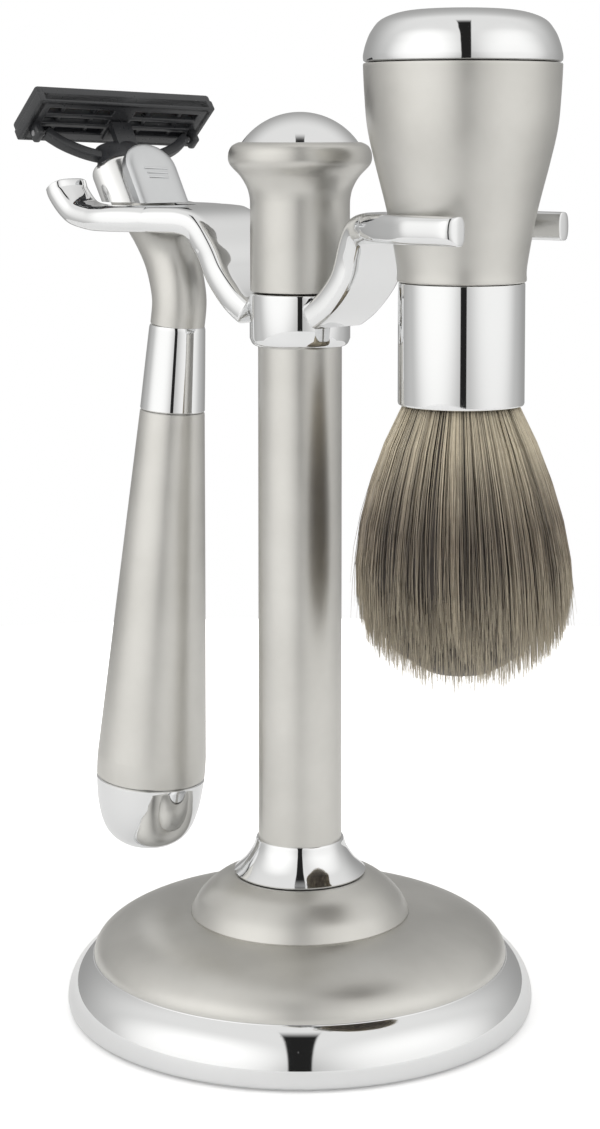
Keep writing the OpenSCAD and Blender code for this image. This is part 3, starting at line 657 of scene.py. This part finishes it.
# %% The brush's metal
cap_high = mm_box("brush_cap")[1]
FERRULE_LOW, FERRULE_HIGH = mm_box("brush_ferrule")
shoulder = BRUSH_HIGH.x - BRUSH_X
SEAT_R, WAIST_R = 13.4, 11.65
foot_z, cap_z = BRUSH_LOW.z, BRUSH_HIGH.z
up_h = cap_z - PLATE_TOP
at_brush = Matrix.Translation((BRUSH_X * MM, 0, 0))
handle = turned("brush_grip",
                [(WAIST_R - 1.5, foot_z + 0.05), (WAIST_R - 0.25, foot_z + 0.08),
                 (WAIST_R - 0.02, foot_z + 0.3)]
                + flow([(WAIST_R, foot_z + 0.6), (WAIST_R + 0.12, foot_z + 3.4), (SEAT_R, PLATE_TOP),
                        ((SEAT_R + shoulder) / 2, PLATE_TOP + up_h * 0.33),
                        (shoulder - 0.8, PLATE_TOP + up_h * 0.57),
                        (shoulder - 0.25, PLATE_TOP + up_h * 0.8), (shoulder, cap_z - 0.35)], 10)
                + [(shoulder - 0.12, cap_z - 0.1), (shoulder - 0.5, cap_z - 0.03),
                   (shoulder - 2, cap_z - 0.02)], at_brush)
keep(handle, "brush", "satin_nickel", "brush_handle")

cap_h = cap_high.z - cap_z
r = shoulder
cap = turned("brush_top",
             [(r - 2, cap_z + 0.1), (r - 0.4, cap_z + 0.12), (r - 0.08, cap_z + 0.35)]
             + flow([(r, cap_z + 0.8), (r - 0.05, cap_z + 1.6), (r - 0.5, cap_z + cap_h * 0.36),
                     (r - 1.45, cap_z + cap_h * 0.59), (r - 3.3, cap_z + cap_h * 0.81),
                     (r - 7, cap_z + cap_h * 0.95), (r - 12, cap_z + cap_h), (0, cap_z + cap_h)], 8),
             at_brush)
keep(cap, "brush", "polished_chrome", "brush_cap")

f_r, f_low, f_high = FERRULE_HIGH.x - BRUSH_X, FERRULE_LOW.z, FERRULE_HIGH.z
ferrule = turned("ferrule",
                 eased([(f_r - 0.75, f_high - 3), (f_r - 0.75, f_low + 0.4), (f_r - 0.45, f_low),
                        (f_r - 0.1, f_low + 0.1), (f_r, f_low + 0.5), (f_r, f_high - 0.15),
                        (f_r - 0.3, f_high), (f_r - 1, f_high)], 0.2), at_brush)
keep(ferrule, "brush", "polished_chrome", "brush_ferrule")

# %% [markdown]
# ## The razor's handle
# The razor hangs slightly turned, rolled and leaning, so its pieces are turned upright and then moved
# to their place by the same three moves as in the frame.

# %% Where the razor hangs
def turn(degrees, axis):
    return Matrix.Rotation(math.radians(degrees), 4, axis)


def shift(x, y, z):
    return Matrix.Translation((x * MM, y * MM, z * MM))


AT_RAZOR = (shift(-RAZOR_X, 0, PLATE_Z) @ turn(-RAZOR_YAW, "Z") @ turn(-RAZOR_ROLL, "X")
            @ shift(0, 0, -PLATE_Z))
BAND_TOP = (8.66, PLATE_TOP - 23.7)
AT_HANDLE = AT_RAZOR @ shift(BAND_TOP[0], 0, BAND_TOP[1]) @ turn(RAZOR_LEAN, "Y") @ turn(180, "X")
AT_NOSE = AT_RAZOR @ shift(NOSE_X, 0, PLATE_TOP) @ turn(-NOSE_TILT, "Y")
AT_CARTRIDGE = AT_NOSE @ shift(0, 0, PIVOT_UP) @ turn(-CARTRIDGE_TILT, "Y")

BAND_LEN, GRIP_LEN, CAP_LEN = 17.2, 74.8, 13.9
GRIP_TOP_R, GRIP_R = 6.45, 10.95
band = turned("razor_band",
              [(3, 0.1), (NECK_R - 0.3, 0.05), (NECK_R + 0.02, 0.25), (NECK_R + 0.16, 0.6)]
              + flow([(NECK_R + 0.2, 1.0), ((NECK_R + GRIP_TOP_R) / 2 + 0.1, BAND_LEN / 2),
                      (GRIP_TOP_R, BAND_LEN - 0.3)], 8)
              + [(GRIP_TOP_R - 0.2, BAND_LEN - 0.05), (3, BAND_LEN - 0.05)], AT_HANDLE)
keep(band, "razor", "polished_chrome", "handle_band")

foot = BAND_LEN + GRIP_LEN
grip = turned("razor_grip",
              [(3, BAND_LEN + 0.05), (GRIP_TOP_R - 0.25, BAND_LEN + 0.05),
               (GRIP_TOP_R - 0.02, BAND_LEN + 0.25)]
              + flow([(GRIP_TOP_R + 0.03, BAND_LEN + 0.6),
                      ((GRIP_TOP_R + GRIP_R) / 2, BAND_LEN + GRIP_LEN * 0.47),
                      (GRIP_R - 0.3, BAND_LEN + GRIP_LEN * 0.88), (GRIP_R, foot - 4),
                      (GRIP_R - 0.04, foot - 0.3)], 10)
              + [(GRIP_R - 0.25, foot - 0.05), (3, foot - 0.05)], AT_HANDLE)
keep(grip, "razor", "satin_nickel", "handle_grip")

r = GRIP_R - 0.05
end = turned("razor_end",
             [(3, foot + 0.05), (r - 0.3, foot + 0.08), (r - 0.02, foot + 0.3)]
             + flow([(r - 0.02, foot + 0.7), (r - 0.28, foot + CAP_LEN * 0.22),
                     (r - 0.7, foot + CAP_LEN * 0.42), (r - 1.6, foot + CAP_LEN * 0.65),
                     (r - 2.9, foot + CAP_LEN * 0.82), (r - 4.8, foot + CAP_LEN * 0.94),
                     (r - 6.8, foot + CAP_LEN - 0.05), (0, foot + CAP_LEN)], 8), AT_HANDLE)
keep(end, "razor", "polished_chrome", "handle_end_cap")

# %% [markdown]
# ## The forked arms
# An arm is one thick casting: it leaves the collar, climbs in an S and ends as a level fork. I make it
# as a flat sheet of a few rows that follows the fork's outline, bent along the S by moving its
# vertices. Then it is thickened and smoothed, which rolls every edge over. Each row knows how far
# along the S it lies, how wide the arm is there, and how wide the slot is.

# %% Bending a flat fork along its S
ARM_LINE = flow([(8, -17.6), (12, -14.9), (16, -10.3), (18.3, -5.1), (21, -1.2), (25, 0)], 5)
LIP_X = RAZOR_X + 14.2    # where the razor fork's lips stand


def drop_slot(piece, test):
    """Deletes the faces whose centre passes the test."""
    bpy.ops.object.mode_set(mode="EDIT")
    bpy.ops.mesh.select_mode(type="FACE")
    bpy.ops.mesh.select_all(action="DESELECT")
    bpy.ops.object.mode_set(mode="OBJECT")
    for face in piece.data.polygons:
        face.select = test(face.center / MM)
    bpy.ops.object.mode_set(mode="EDIT")
    bpy.ops.mesh.delete(type="FACE")
    bpy.ops.object.mode_set(mode="OBJECT")


def cast(piece, thickness, round_edge=0, levels=2):
    """Thickens a sheet about its middle, rounds its edges if told how much, and smooths it."""
    only(piece)
    solid = piece.modifiers.new("wall", "SOLIDIFY")
    solid.thickness = thickness * MM
    solid.offset = 0
    solid.use_even_offset = True
    bpy.ops.object.modifier_apply(modifier="wall")
    if round_edge:
        edge = piece.modifiers.new("edge", "BEVEL")
        edge.width = round_edge * MM
        edge.segments = 4
        edge.limit_method = "ANGLE"
        edge.angle_limit = math.radians(60)
        bpy.ops.object.modifier_apply(modifier="edge")
    if levels:
        smooth = piece.modifiers.new("smooth", "SUBSURF")
        smooth.levels = smooth.render_levels = levels
        bpy.ops.object.modifier_apply(modifier="smooth")
    finish_mesh(piece, 60)


def fork_outline(x, slot_x, slot_r, fork_r, tip_x):
    """Half of a fork from above, as (x, outer half width) and the slot's half width at x."""
    side = flow([(0, 8), (15, 8), (19, 9.2), (x - fork_r * 0.72, fork_r * 0.72), (x, fork_r)], 8)

    def outer(at):
        tip_r = (fork_r - slot_r) / 2
        if at > tip_x - tip_r:
            return slot_r + tip_r + math.sqrt(max(tip_r ** 2 - (at - tip_x + tip_r) ** 2, 0))
        for a, b in zip(side, side[1:]):
            if a.x <= at <= b.x:
                return a.y + (b.y - a.y) * (at - a.x) / max(b.x - a.x, 1e-6)
        return fork_r

    def inner(at):
        if at <= slot_x - slot_r:
            return 0.0
        return slot_r if at >= slot_x else math.sqrt(max(slot_r ** 2 - (at - slot_x) ** 2, 0))

    return outer, inner


print("the S of an arm has", len(ARM_LINE), "points")

# %% The brush's fork
FORK_GAP, PRONG_W, PRONG_PAST = 0.3, 4.5, 11.5
BRUSH_TIP = BRUSH_X + PRONG_PAST
BRUSH_SLOT, BRUSH_FORK = SEAT_R + FORK_GAP, SEAT_R + FORK_GAP + PRONG_W


def spaced(start, end, count):
    return [start + (end - start) * i / count for i in range(count + 1)]


# The rows close up near the slot's round end and the tips, where the outline turns fastest.
slot_start = BRUSH_X - BRUSH_SLOT
near = [slot_start + BRUSH_SLOT * (1 - math.cos(math.pi / 2 * i / 8)) for i in range(9)]
tip = (BRUSH_FORK - BRUSH_SLOT) / 2
tips = [BRUSH_TIP - tip + tip * math.sin(math.pi / 2 * i / 4) for i in range(5)]
flat = sorted(set(near + spaced(BRUSH_X, BRUSH_TIP - tip, 4)[1:] + tips[1:]))


def sheet_fork(name, outline, line, way=1, far_gap=None):
    """The sheet of one fork, six strips wide. It points along +X, or along -X when the way is -1.
    far_gap widens the slot on the +Y side."""
    outer, inner = outline
    far_gap = far_gap or (lambda x: 0)
    piece = added(name, bpy.ops.mesh.primitive_grid_add, x_subdivisions=len(line) - 1, y_subdivisions=6,
                  size=1)
    for vertex in piece.data.vertices:
        i = round((vertex.co.x + 0.5) * (len(line) - 1))
        j = round((vertex.co.y + 0.5) * 6) - 3
        x, z = line[i]
        wide = outer(x)
        hole = max(inner(x), far_gap(x)) if j > 0 else inner(x)
        if hole > 0:
            y = {0: 0, 1: hole, 2: (hole + wide) / 2, 3: wide}[abs(j)]
        else:
            y = {0: 0, 1: wide * 0.34, 2: wide * 0.68, 3: wide}[abs(j)]
        vertex.co = Vector((way * x, math.copysign(y, j) if j else 0, z)) * MM
    return piece


def slotted(piece, slot_x, slot_r):
    """Leaves out the faces over the slot."""
    drop_slot(piece, lambda c: abs(c.x) > slot_x - slot_r and abs(c.y) < 0.62 * math.sqrt(
        max(slot_r ** 2 - max(slot_x - abs(c.x), 0) ** 2, 0)))


brush_line = [(p.x, p.y + PLATE_Z) for p in ARM_LINE[:-1]] + [(x, PLATE_Z) for x in flat]
brush_arm = sheet_fork("brush_fork", fork_outline(BRUSH_X, BRUSH_X, BRUSH_SLOT, BRUSH_FORK, BRUSH_TIP),
                       brush_line)
slotted(brush_arm, BRUSH_X, BRUSH_SLOT)
cast(brush_arm, ARM_T)
keep(brush_arm, "stand", "polished_chrome", "brush_arm")

# %% [markdown]
# The razor's fork is the same sheet with wider prongs, and its tips turn up into two lips that keep the
# razor from sliding off. The head rests between them, turned a little, so the gap is wider on the far
# side.

# %% The razor's fork
RAZOR_SLOT_X, RAZOR_SLOT, RAZOR_PRONG_W, FAR_GAP = RAZOR_X - 1.5, 7.2, 9.6, 12.2
RAZOR_FORK = RAZOR_SLOT + RAZOR_PRONG_W


def gap_at(x):
    """The half width of the gap on the far side, which opens up over the lips."""
    return FAR_GAP * min(max((x - LIP_X + 9) / 3.5, 0), 1)


tail = flow([(LIP_X - 10.5, 0), (LIP_X - 5, 1.1), (LIP_X - 1.2, 4.4), (LIP_X - 0.25, 6.3),
             (LIP_X, 8 - 1.6)], 5)[:-4]
slot_start = RAZOR_SLOT_X - RAZOR_SLOT
near = [slot_start + RAZOR_SLOT * (1 - math.cos(math.pi / 2 * i / 7)) for i in range(8)]
level = sorted(set(near + spaced(RAZOR_SLOT_X, LIP_X - 10.5, 2)[1:-1]))
razor_line = ([(p.x, p.y + PLATE_Z) for p in ARM_LINE[:-1]] + [(x, PLATE_Z) for x in level]
              + [(p.x, p.y + PLATE_Z) for p in tail])
razor_arm = sheet_fork("razor_fork",
                       fork_outline(RAZOR_X, RAZOR_SLOT_X, RAZOR_SLOT, RAZOR_FORK, LIP_X + 12),
                       razor_line, way=-1, far_gap=gap_at)
slotted(razor_arm, RAZOR_SLOT_X, RAZOR_SLOT)
cast(razor_arm, ARM_T)
keep(razor_arm, "stand", "polished_chrome", "razor_arm")

# %% [markdown]
# ## The razor's neck and head
# The neck is a bent tube: a path with a round bevel, turned into a mesh. It ends flat under the head,
# which sits on the fork's plate.

# %% The neck
def slice_off(piece, point, normal):
    """Cuts a piece along a plane and drops what lies on the side that the normal points to."""
    only(piece)
    bpy.ops.object.mode_set(mode="EDIT")
    bpy.ops.mesh.select_all(action="SELECT")
    bpy.ops.mesh.bisect(plane_co=point, plane_no=normal, use_fill=True, clear_outer=True)
    bpy.ops.object.mode_set(mode="OBJECT")


lean = Vector((math.sin(math.radians(RAZOR_LEAN)), math.cos(math.radians(RAZOR_LEAN))))
low_end = Vector(BAND_TOP)
neck_line = flow([low_end, low_end + 5.5 * lean, (6.2, PLATE_TOP - 11.6), (1.9, PLATE_TOP - 6.6),
                  (-3, PLATE_TOP - 2.4), (NOSE_X - 0.8, PLATE_TOP + 1), (NOSE_X - 4, PLATE_TOP + 4)], 8)
neck = added("razor_neck", bpy.ops.curve.primitive_nurbs_path_add)
neck.data.splines.clear()
spline = neck.data.splines.new("POLY")
spline.points.add(len(neck_line) - 1)
for point, place in zip(spline.points, neck_line):
    point.co = (place.x * MM, 0, place.y * MM, 1)
neck.data.bevel_depth = NECK_R * MM
neck.data.bevel_resolution = 14
neck.data.use_fill_caps = True
neck.data.twist_mode = "MINIMUM"
bpy.ops.object.convert(target="MESH")
neck = bpy.context.object
settle(neck, AT_RAZOR)
slice_off(neck, (0, 0, (PLATE_TOP + 0.28) * MM), (0, 0, 1))
finish_mesh(neck, 40)
keep(neck, "razor", "satin_nickel", "handle_neck")

# %% [markdown]
# The housing is a short oval drum of bright plating, cut level where it meets the fork. Its upper edge
# is rolled over, so the light runs round it in a thin line.

# %% The housing
HOUSE_W, HOUSE_T, HOUSE_LEN = 16.4, 11.0, 8.8


def rounded_drum(name, sections, place, vertices=72):
    """An oval drum made by extruding one ring through sections of (thickness, width, height)."""
    piece = added(name, bpy.ops.mesh.primitive_circle_add, vertices=vertices, radius=0.5 * MM,
                  fill_type="NGON")
    bpy.ops.object.mode_set(mode="EDIT")
    bpy.ops.mesh.select_all(action="SELECT")
    thick, wide, height = sections[0]
    bpy.ops.transform.resize(value=(thick, wide, 1))
    bpy.ops.transform.translate(value=(0, 0, height * MM))
    for thick_next, wide_next, next_height in sections[1:]:
        rise = (0, 0, (next_height - height) * MM)
        bpy.ops.mesh.extrude_region_move(TRANSFORM_OT_translate={"value": rise})
        bpy.ops.transform.resize(value=(thick_next / thick, wide_next / wide, 1))
        thick, wide, height = thick_next, wide_next, next_height
    bpy.ops.object.mode_set(mode="OBJECT")
    finish_mesh(piece, 40)
    settle(piece, place)
    return piece


housing = rounded_drum("head_housing_shell",
                       [(HOUSE_T, HOUSE_W * 0.94, -9), (HOUSE_T, HOUSE_W * 0.97, 0),
                        (HOUSE_T, HOUSE_W, HOUSE_LEN - 1.5)]
                       + [(HOUSE_T - 1.5 * (1 - math.cos(a)), HOUSE_W - 1.5 * (1 - math.cos(a)),
                           HOUSE_LEN - 1.5 + 1.4 * math.sin(a))
                          for a in (math.pi / 2 * i / 6 for i in range(1, 7))], AT_NOSE)
slice_off(housing, (0, 0, (PLATE_TOP + 0.3) * MM), (0, 0, -1))
finish_mesh(housing, 40)
keep(housing, "razor", "pearl_plastic", "head_housing")

# %% [markdown]
# The release button is a crowned tongue with a round top. Three low ridges across its middle give the
# thumb a hold.

# %% The release button
BUTTON_W, BUTTON_TOP, BUTTON_X, BUTTON_T = 11.6, 9.1, HOUSE_T / 2 + 0.5, 3.2
button = added("thumb_button", bpy.ops.mesh.primitive_circle_add, vertices=48, radius=BUTTON_W / 2 * MM,
               fill_type="NGON")
bpy.ops.object.mode_set(mode="EDIT")
bpy.ops.mesh.select_all(action="SELECT")
bpy.ops.transform.rotate(value=math.pi / 2, orient_axis="Y", center_override=(0, 0, 0))
bpy.ops.object.mode_set(mode="OBJECT")
for vertex in button.data.vertices:
    vertex.co.z += (BUTTON_TOP - BUTTON_W / 2) * MM
    if vertex.co.z < (BUTTON_TOP - BUTTON_W / 2 - 0.1) * MM:
        vertex.co.z -= 9 * MM
    vertex.co.x = BUTTON_X * MM
bpy.ops.object.mode_set(mode="EDIT")
bpy.ops.mesh.select_all(action="SELECT")
bpy.ops.mesh.extrude_region_move(TRANSFORM_OT_translate={"value": (BUTTON_T * 0.55 * MM, 0, 0)})
for inset, lift in ((0.35, 0.42), (0.6, 0.36), (0.9, 0.26), (1.4, 0.16)):
    bpy.ops.mesh.inset(thickness=inset * MM, depth=0)
    bpy.ops.transform.translate(value=(lift * MM, 0, 0))
bpy.ops.object.mode_set(mode="OBJECT")
finish_mesh(button, 28)
settle(button, AT_NOSE)
slice_off(button, (0, 0, (PLATE_TOP + 0.3) * MM), (0, 0, -1))
finish_mesh(button, 28)


def rounded_bar(name, size, centre, radius, place, segments=3):
    """A box with rounded edges, in millimetres."""
    piece = added(name, bpy.ops.mesh.primitive_cube_add, size=MM, location=Vector(centre) * MM)
    piece.scale = size
    bpy.ops.object.transform_apply(location=True, rotation=True, scale=True)
    bpy.ops.object.mode_set(mode="EDIT")
    bpy.ops.mesh.select_all(action="SELECT")
    bpy.ops.mesh.bevel(offset=radius * MM, segments=segments)
    bpy.ops.object.mode_set(mode="OBJECT")
    finish_mesh(piece, 40)
    settle(piece, place)
    return piece


def joined(name, first, *others):
    """Several meshes as one piece."""
    only(first, *others)
    bpy.ops.object.join()
    first.name = name
    finish_mesh(first, 40)
    return first


button_face = BUTTON_X + BUTTON_T * 0.55 + 1.2
ridges = [rounded_bar("ridge", (0.7, 5.6 - 0.5 * i, 0.55), (button_face - 0.15, 0, 2.2 - 1.1 * i), 0.2,
                      AT_NOSE) for i in range(3)]
button = joined("thumb_button", button, *ridges)
keep(button, "button", "silver_plastic", "release_button")

# %% [markdown]
# ## The cartridge and its hub
# The hub is a waisted oval body that plugs into the housing. A thin curved yoke, shaped like a smile,
# carries the cartridge at its two ends.

# %% The hub
YOKE_Y = 17.3
hub = rounded_drum("hub_body",
                   [(8.0, 12.8, HOUSE_LEN - 1.5), (8.6, 13.6, HOUSE_LEN + 0.1),
                    (8.5, 13.5, HOUSE_LEN + 0.6)]
                   + [(8.4 - 2.2 * t, 13.4 - 1.4 * math.sin(math.pi * t * 0.7), HOUSE_LEN + 0.6 + 4.0 * t)
                      for t in (0.2, 0.4, 0.6, 0.8, 1.0)] + [(5.4, 11.6, HOUSE_LEN + 4.9)], AT_NOSE, 48)

yoke_line = flow([(YOKE_Y - 0.6, PIVOT_UP + 0.3), (YOKE_Y - 4.4, PIVOT_UP - 2.7), (7, PIVOT_UP - 5.1),
                  (0, PIVOT_UP - 5.8), (-7, PIVOT_UP - 5.1), (4.4 - YOKE_Y, PIVOT_UP - 2.7),
                  (0.6 - YOKE_Y, PIVOT_UP + 0.3)], 6)
yoke = added("yoke", bpy.ops.mesh.primitive_grid_add, x_subdivisions=1, y_subdivisions=len(yoke_line) - 1,
             size=1)
for vertex in yoke.data.vertices:
    point = yoke_line[round((vertex.co.y + 0.5) * (len(yoke_line) - 1))]
    vertex.co = Vector((math.copysign(1.15, vertex.co.x), point.x, point.y)) * MM
cast(yoke, 2.1, 0.45, levels=1)
settle(yoke, AT_NOSE)
hub = joined("hub_body", hub, yoke)
keep(hub, "hub", "black_plastic", "cartridge_hub")

# %% [markdown]
# The cartridge is a shallow tray. Its back has two columns of rinsing slots, its ends are thick round
# bars and its face carries the guard, three blades and the lubricating strip. The tray starts as a
# grid whose lines lie along the slots' edges, so each slot is a face left out before the sheet gets
# its thickness.

# %% The cartridge's tray
CART_LEN, CART_W, CART_T = 41.6, 12.3, 4.0
SLOT_W, SLOT_PITCH, RIB_W = 1.7, 2.8, 5.0
window = (CART_LEN - RIB_W) / 2 - 3.2
slots = [(CARTRIDGE_X + (i - 1) * SLOT_PITCH + 0.3, side * (RIB_W + window) / 2) for side in (-1, 1)
         for i in range(3)]
xs = sorted({CARTRIDGE_X - CART_W / 2, CARTRIDGE_X + CART_W / 2}
            | {round(x + d * SLOT_W / 2, 4) for x, _ in slots for d in (-1, 1)})
ys = sorted({-CART_LEN / 2, CART_LEN / 2} | {round(side * edge, 4) for side in (-1, 1)
                                             for edge in (RIB_W / 2, RIB_W / 2 + window)})
tray = added("cartridge_tray", bpy.ops.mesh.primitive_grid_add, x_subdivisions=len(xs) - 1,
             y_subdivisions=len(ys) - 1, size=1)
for vertex in tray.data.vertices:
    i, j = round((vertex.co.x + 0.5) * (len(xs) - 1)), round((vertex.co.y + 0.5) * (len(ys) - 1))
    vertex.co = Vector((xs[i], ys[j], BACK_UP + 1.2)) * MM
drop_slot(tray, lambda c: any(abs(c.x - x) < SLOT_W / 2 and abs(c.y - y) < window / 2 for x, y in slots))
cast(tray, 2.4, 0.3, levels=0)
settle(tray, AT_CARTRIDGE)
middle = CARTRIDGE_X
face_up = BACK_UP + CART_T
bars = [rounded_bar("end_bar", (CART_W - 0.1, 2.3, CART_T + 0.2),
                    (middle, side * (CART_LEN / 2 - 1.2), BACK_UP + CART_T / 2 + 0.1), 0.75, AT_CARTRIDGE,
                    4) for side in (-1, 1)]
rails = [rounded_bar("rail", (1.4, CART_LEN - 2, CART_T),
                     (middle + side * (CART_W / 2 - 0.7), 0, BACK_UP + CART_T / 2), 0.45, AT_CARTRIDGE)
         for side in (-1, 1)]
ribs = [rounded_bar("rib", (CART_W - 1, 1.0, 1.6),
                    (middle, side * (RIB_W / 2 + window / 2 + step), BACK_UP + 1.5), 0.3, AT_CARTRIDGE)
        for side in (-1, 1) for step in (-window / 4, window / 4)]
block = rounded_bar("catch", (3.2, 3.6, 1.0), (middle - CART_W / 2 + 3.0, 0, BACK_UP - 0.1), 0.3,
                    AT_CARTRIDGE)
ears = [rounded_bar("ear", (3.2, 1.7, 3.4), (0, side * (YOKE_Y + 1.2), 0.3), 0.6, AT_CARTRIDGE)
        for side in (-1, 1)]
tray = joined("cartridge_shell", tray, *bars, *rails, *ribs, *ears, block)
keep(tray, "cartridge", "black_plastic", "cartridge_frame")

# %% What the cartridge's face carries
inner_len = CART_LEN - 4.6
strip = rounded_bar("wax_strip", (2.5, inner_len, 2.0),
                    (middle + CART_W / 2 - 1.4 - 1.3, 0, face_up - 1.2), 0.5, AT_CARTRIDGE)
keep(strip, "cartridge", "lubricant_strip", "lubricating_strip")
fins = joined("guard_strip",
              *[rounded_bar("fin", (0.32, inner_len, 1.6),
                            (middle - CART_W / 2 + 1.4 + 0.25 + i * 0.55, 0, face_up - 1.05), 0.12,
                            AT_CARTRIDGE, 2) for i in range(4)],
              rounded_bar("fin_base", (2.2, inner_len, 1.2),
                          (middle - CART_W / 2 + 2.5, 0, face_up - 2.1), 0.2, AT_CARTRIDGE))
keep(fins, "cartridge", "black_rubber", "guard_fins")
print("the cartridge is", CART_LEN, "mm long")

# %% [markdown]
# ## The hair
# A knot of hair is thousands of strands that leave the ferrule as one bundle, swell, and close again
# to a dome. Each strand here is a thin three-sided tube of six rings. Where a strand ends on the dome
# sets its whole path: strands near the middle run straight down, and those near the edge swing out
# along the bulge. The strands gather in small tufts, and a few stray ones stand out.

# %% Growing the strands
HAIR_H = f_low - mm_box("brush_hair")[0].z
HAIR_R, ROOT_R = 19.6, 10.4
TUFTS, STRANDS, STRAYS, RINGS = 420, 5200, 70, 6
BLOND, BROWN, DARK = Vector((0.74, 0.66, 0.50)), Vector((0.30, 0.25, 0.19)), Vector((0.055, 0.044, 0.035))
DOME = [(0.0, 1.0), (0.35, 0.985), (0.57, 0.945), (0.75, 0.9), (0.87, 0.84), (0.96, 0.76), (1.0, 0.67)]
COMBED = 0.9              # how far the tips lean to the camera's right
draw = random.Random(7)


def dome_depth(q):
    """How deep the dome lies at a share q of the bulge's radius, as a share of the hair's length."""
    for (q0, d0), (q1, d1) in zip(DOME, DOME[1:]):
        if q <= q1:
            return d0 + (d1 - d0) * (q - q0) / (q1 - q0)
    return DOME[-1][1]


def bundle_radius(share):
    """The bulge's radius at a share of the hair's length."""
    return ROOT_R + (HAIR_R - ROOT_R) * math.sin(math.pi / 2 * min(share / 0.64, 1)) ** 0.9


def mixed(a, b, share):
    return a * (1 - share) + b * share


def strand_colour(t, shade):
    """Blond at the root, dark grey-brown below the middle, lighter again at the tip."""
    dark_band = math.exp(-((t - 0.62) / 0.30) ** 2)
    tone = mixed(BLOND, BROWN, min(1, dark_band * 0.95 + 0.12))
    tone = mixed(tone, DARK, shade * (0.25 + 0.65 * dark_band))
    return mixed(tone, BLOND, max(0, t - 0.86) * 3.0 * (1 - shade))


verts, faces, colours = [], [], []


def grow(q, angle, tip_depth, thick, shade, wander, lift=0.0):
    """One strand, from the ferrule's edge to its tip."""
    first = len(verts)
    ca, sa = math.cos(angle), math.sin(angle)
    phase = draw.uniform(0, TURN)
    for ring in range(RINGS):
        t = ring / (RINGS - 1)
        depth = tip_depth * t
        share = depth / HAIR_H
        radius = q * bundle_radius(share) * (1 + lift * t * t)
        sway = wander * t * math.sin(2.6 * t + phase)
        x = radius * ca - sway * sa + camera_right.x * COMBED * t * t
        y = radius * sa + sway * ca + camera_right.y * COMBED * t * t
        z = f_low - depth
        girth = thick * (1 - 0.75 * t ** 3)
        tone = strand_colour(t, shade)
        for k in range(3):
            a = TURN * k / 3 + phase
            verts.append((x + girth * math.cos(a), y + girth * math.sin(a), z))
            colours.append(tone)
    for ring in range(RINGS - 1):
        for k in range(3):
            a, b = first + 3 * ring + k, first + 3 * ring + (k + 1) % 3
            faces.append((a, b, b + 3, a + 3))
    faces.append((first + 2, first + 1, first))
    last = first + 3 * (RINGS - 1)
    faces.append((last, last + 1, last + 2))


tufts = []
for i in range(TUFTS):
    q = math.sqrt((i + 0.5) / TUFTS)
    tufts.append((q, i * 2.39996323, draw.gauss(0, 0.9), draw.random()))
for i in range(STRANDS):
    anywhere = draw.random() < 0.35
    pick = draw.randrange(TUFTS) if anywhere else min(TUFTS - 1, int(TUFTS * draw.random() ** 0.32))
    q0, angle0, depth0, shade0 = tufts[pick]
    q = min(1.0, max(0.0, q0 + draw.gauss(0, 0.025)))
    angle = angle0 + draw.gauss(0, 0.045) / max(q, 0.2)
    tip = HAIR_H * dome_depth(q) + depth0 + draw.gauss(0, 0.7) - draw.expovariate(1 / 0.9)
    shade = min(1, max(0, 0.5 + 2.2 * (0.4 * shade0 + 0.6 * draw.random() - 0.5) + draw.gauss(0, 0.1)))
    grow(q, angle, min(tip, HAIR_H * 1.01), draw.uniform(0.07, 0.12), shade ** 1.1, draw.gauss(0, 0.55))
for i in range(STRAYS):
    q = draw.uniform(0.9, 1.0)
    grow(q, draw.uniform(0, TURN), HAIR_H * dome_depth(q) * draw.uniform(0.9, 1.06), 0.06,
         draw.random() * 0.7, draw.gauss(0, 1.6), draw.uniform(0.02, 0.10))
mesh = bpy.data.meshes.new("brush_hair_strands")
mesh.from_pydata([Vector(v) * MM for v in verts], [], faces)
layer = mesh.color_attributes.new(name="strand", type="FLOAT_COLOR", domain="POINT")
layer.data.foreach_set("color", [c for tone in colours for c in (*tone, 1.0)])
hair = bpy.data.objects.new("brush_hair_strands", mesh)
bpy.context.scene.collection.objects.link(hair)
settle(hair, at_brush)
bpy.ops.object.shade_smooth()

# %% [markdown]
# Behind the strands lies a dark core, a little smaller than the bundle, so no light shows through. Its
# near-black colour is painted shade, standing for the shaded hair deep inside the knot. It is joined
# to the strands, so the hair is one piece.

# %% The core of the knot
core = turned("hair_core",
              [(ROOT_R * 0.96, f_low + 2)]
              + [(0.93 * bundle_radius(s), f_low - HAIR_H * s) for s in (0, 0.08, 0.2, 0.35, 0.5, 0.6)]
              + [(0.86 * HAIR_R * q, f_low - HAIR_H * (dome_depth(q) - 0.05))
                 for q in (0.96, 0.87, 0.72, 0.5, 0.35, 0.0)], at_brush, 64)
shell = core.data.color_attributes.new(name="strand", type="FLOAT_COLOR", domain="POINT")
# The core's near-black colour is painted shade, in place of the shaded hair deep inside the knot.
core_painted_shade = DARK * 0.7
shell.data.foreach_set("color", [c for _ in core.data.vertices for c in (*core_painted_shade, 1.0)])
only(hair, core)
bpy.ops.object.join()
keep(hair, "brush", "bristle", "brush_hair")
print(len(faces), "faces of hair")

# %% [markdown]
# ## Finishes on the pieces

# %% Every piece gets the finish of its slot
for piece in pieces.values():
    piece.data.materials.clear()
    piece.data.materials.append(finishes[piece["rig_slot"]])
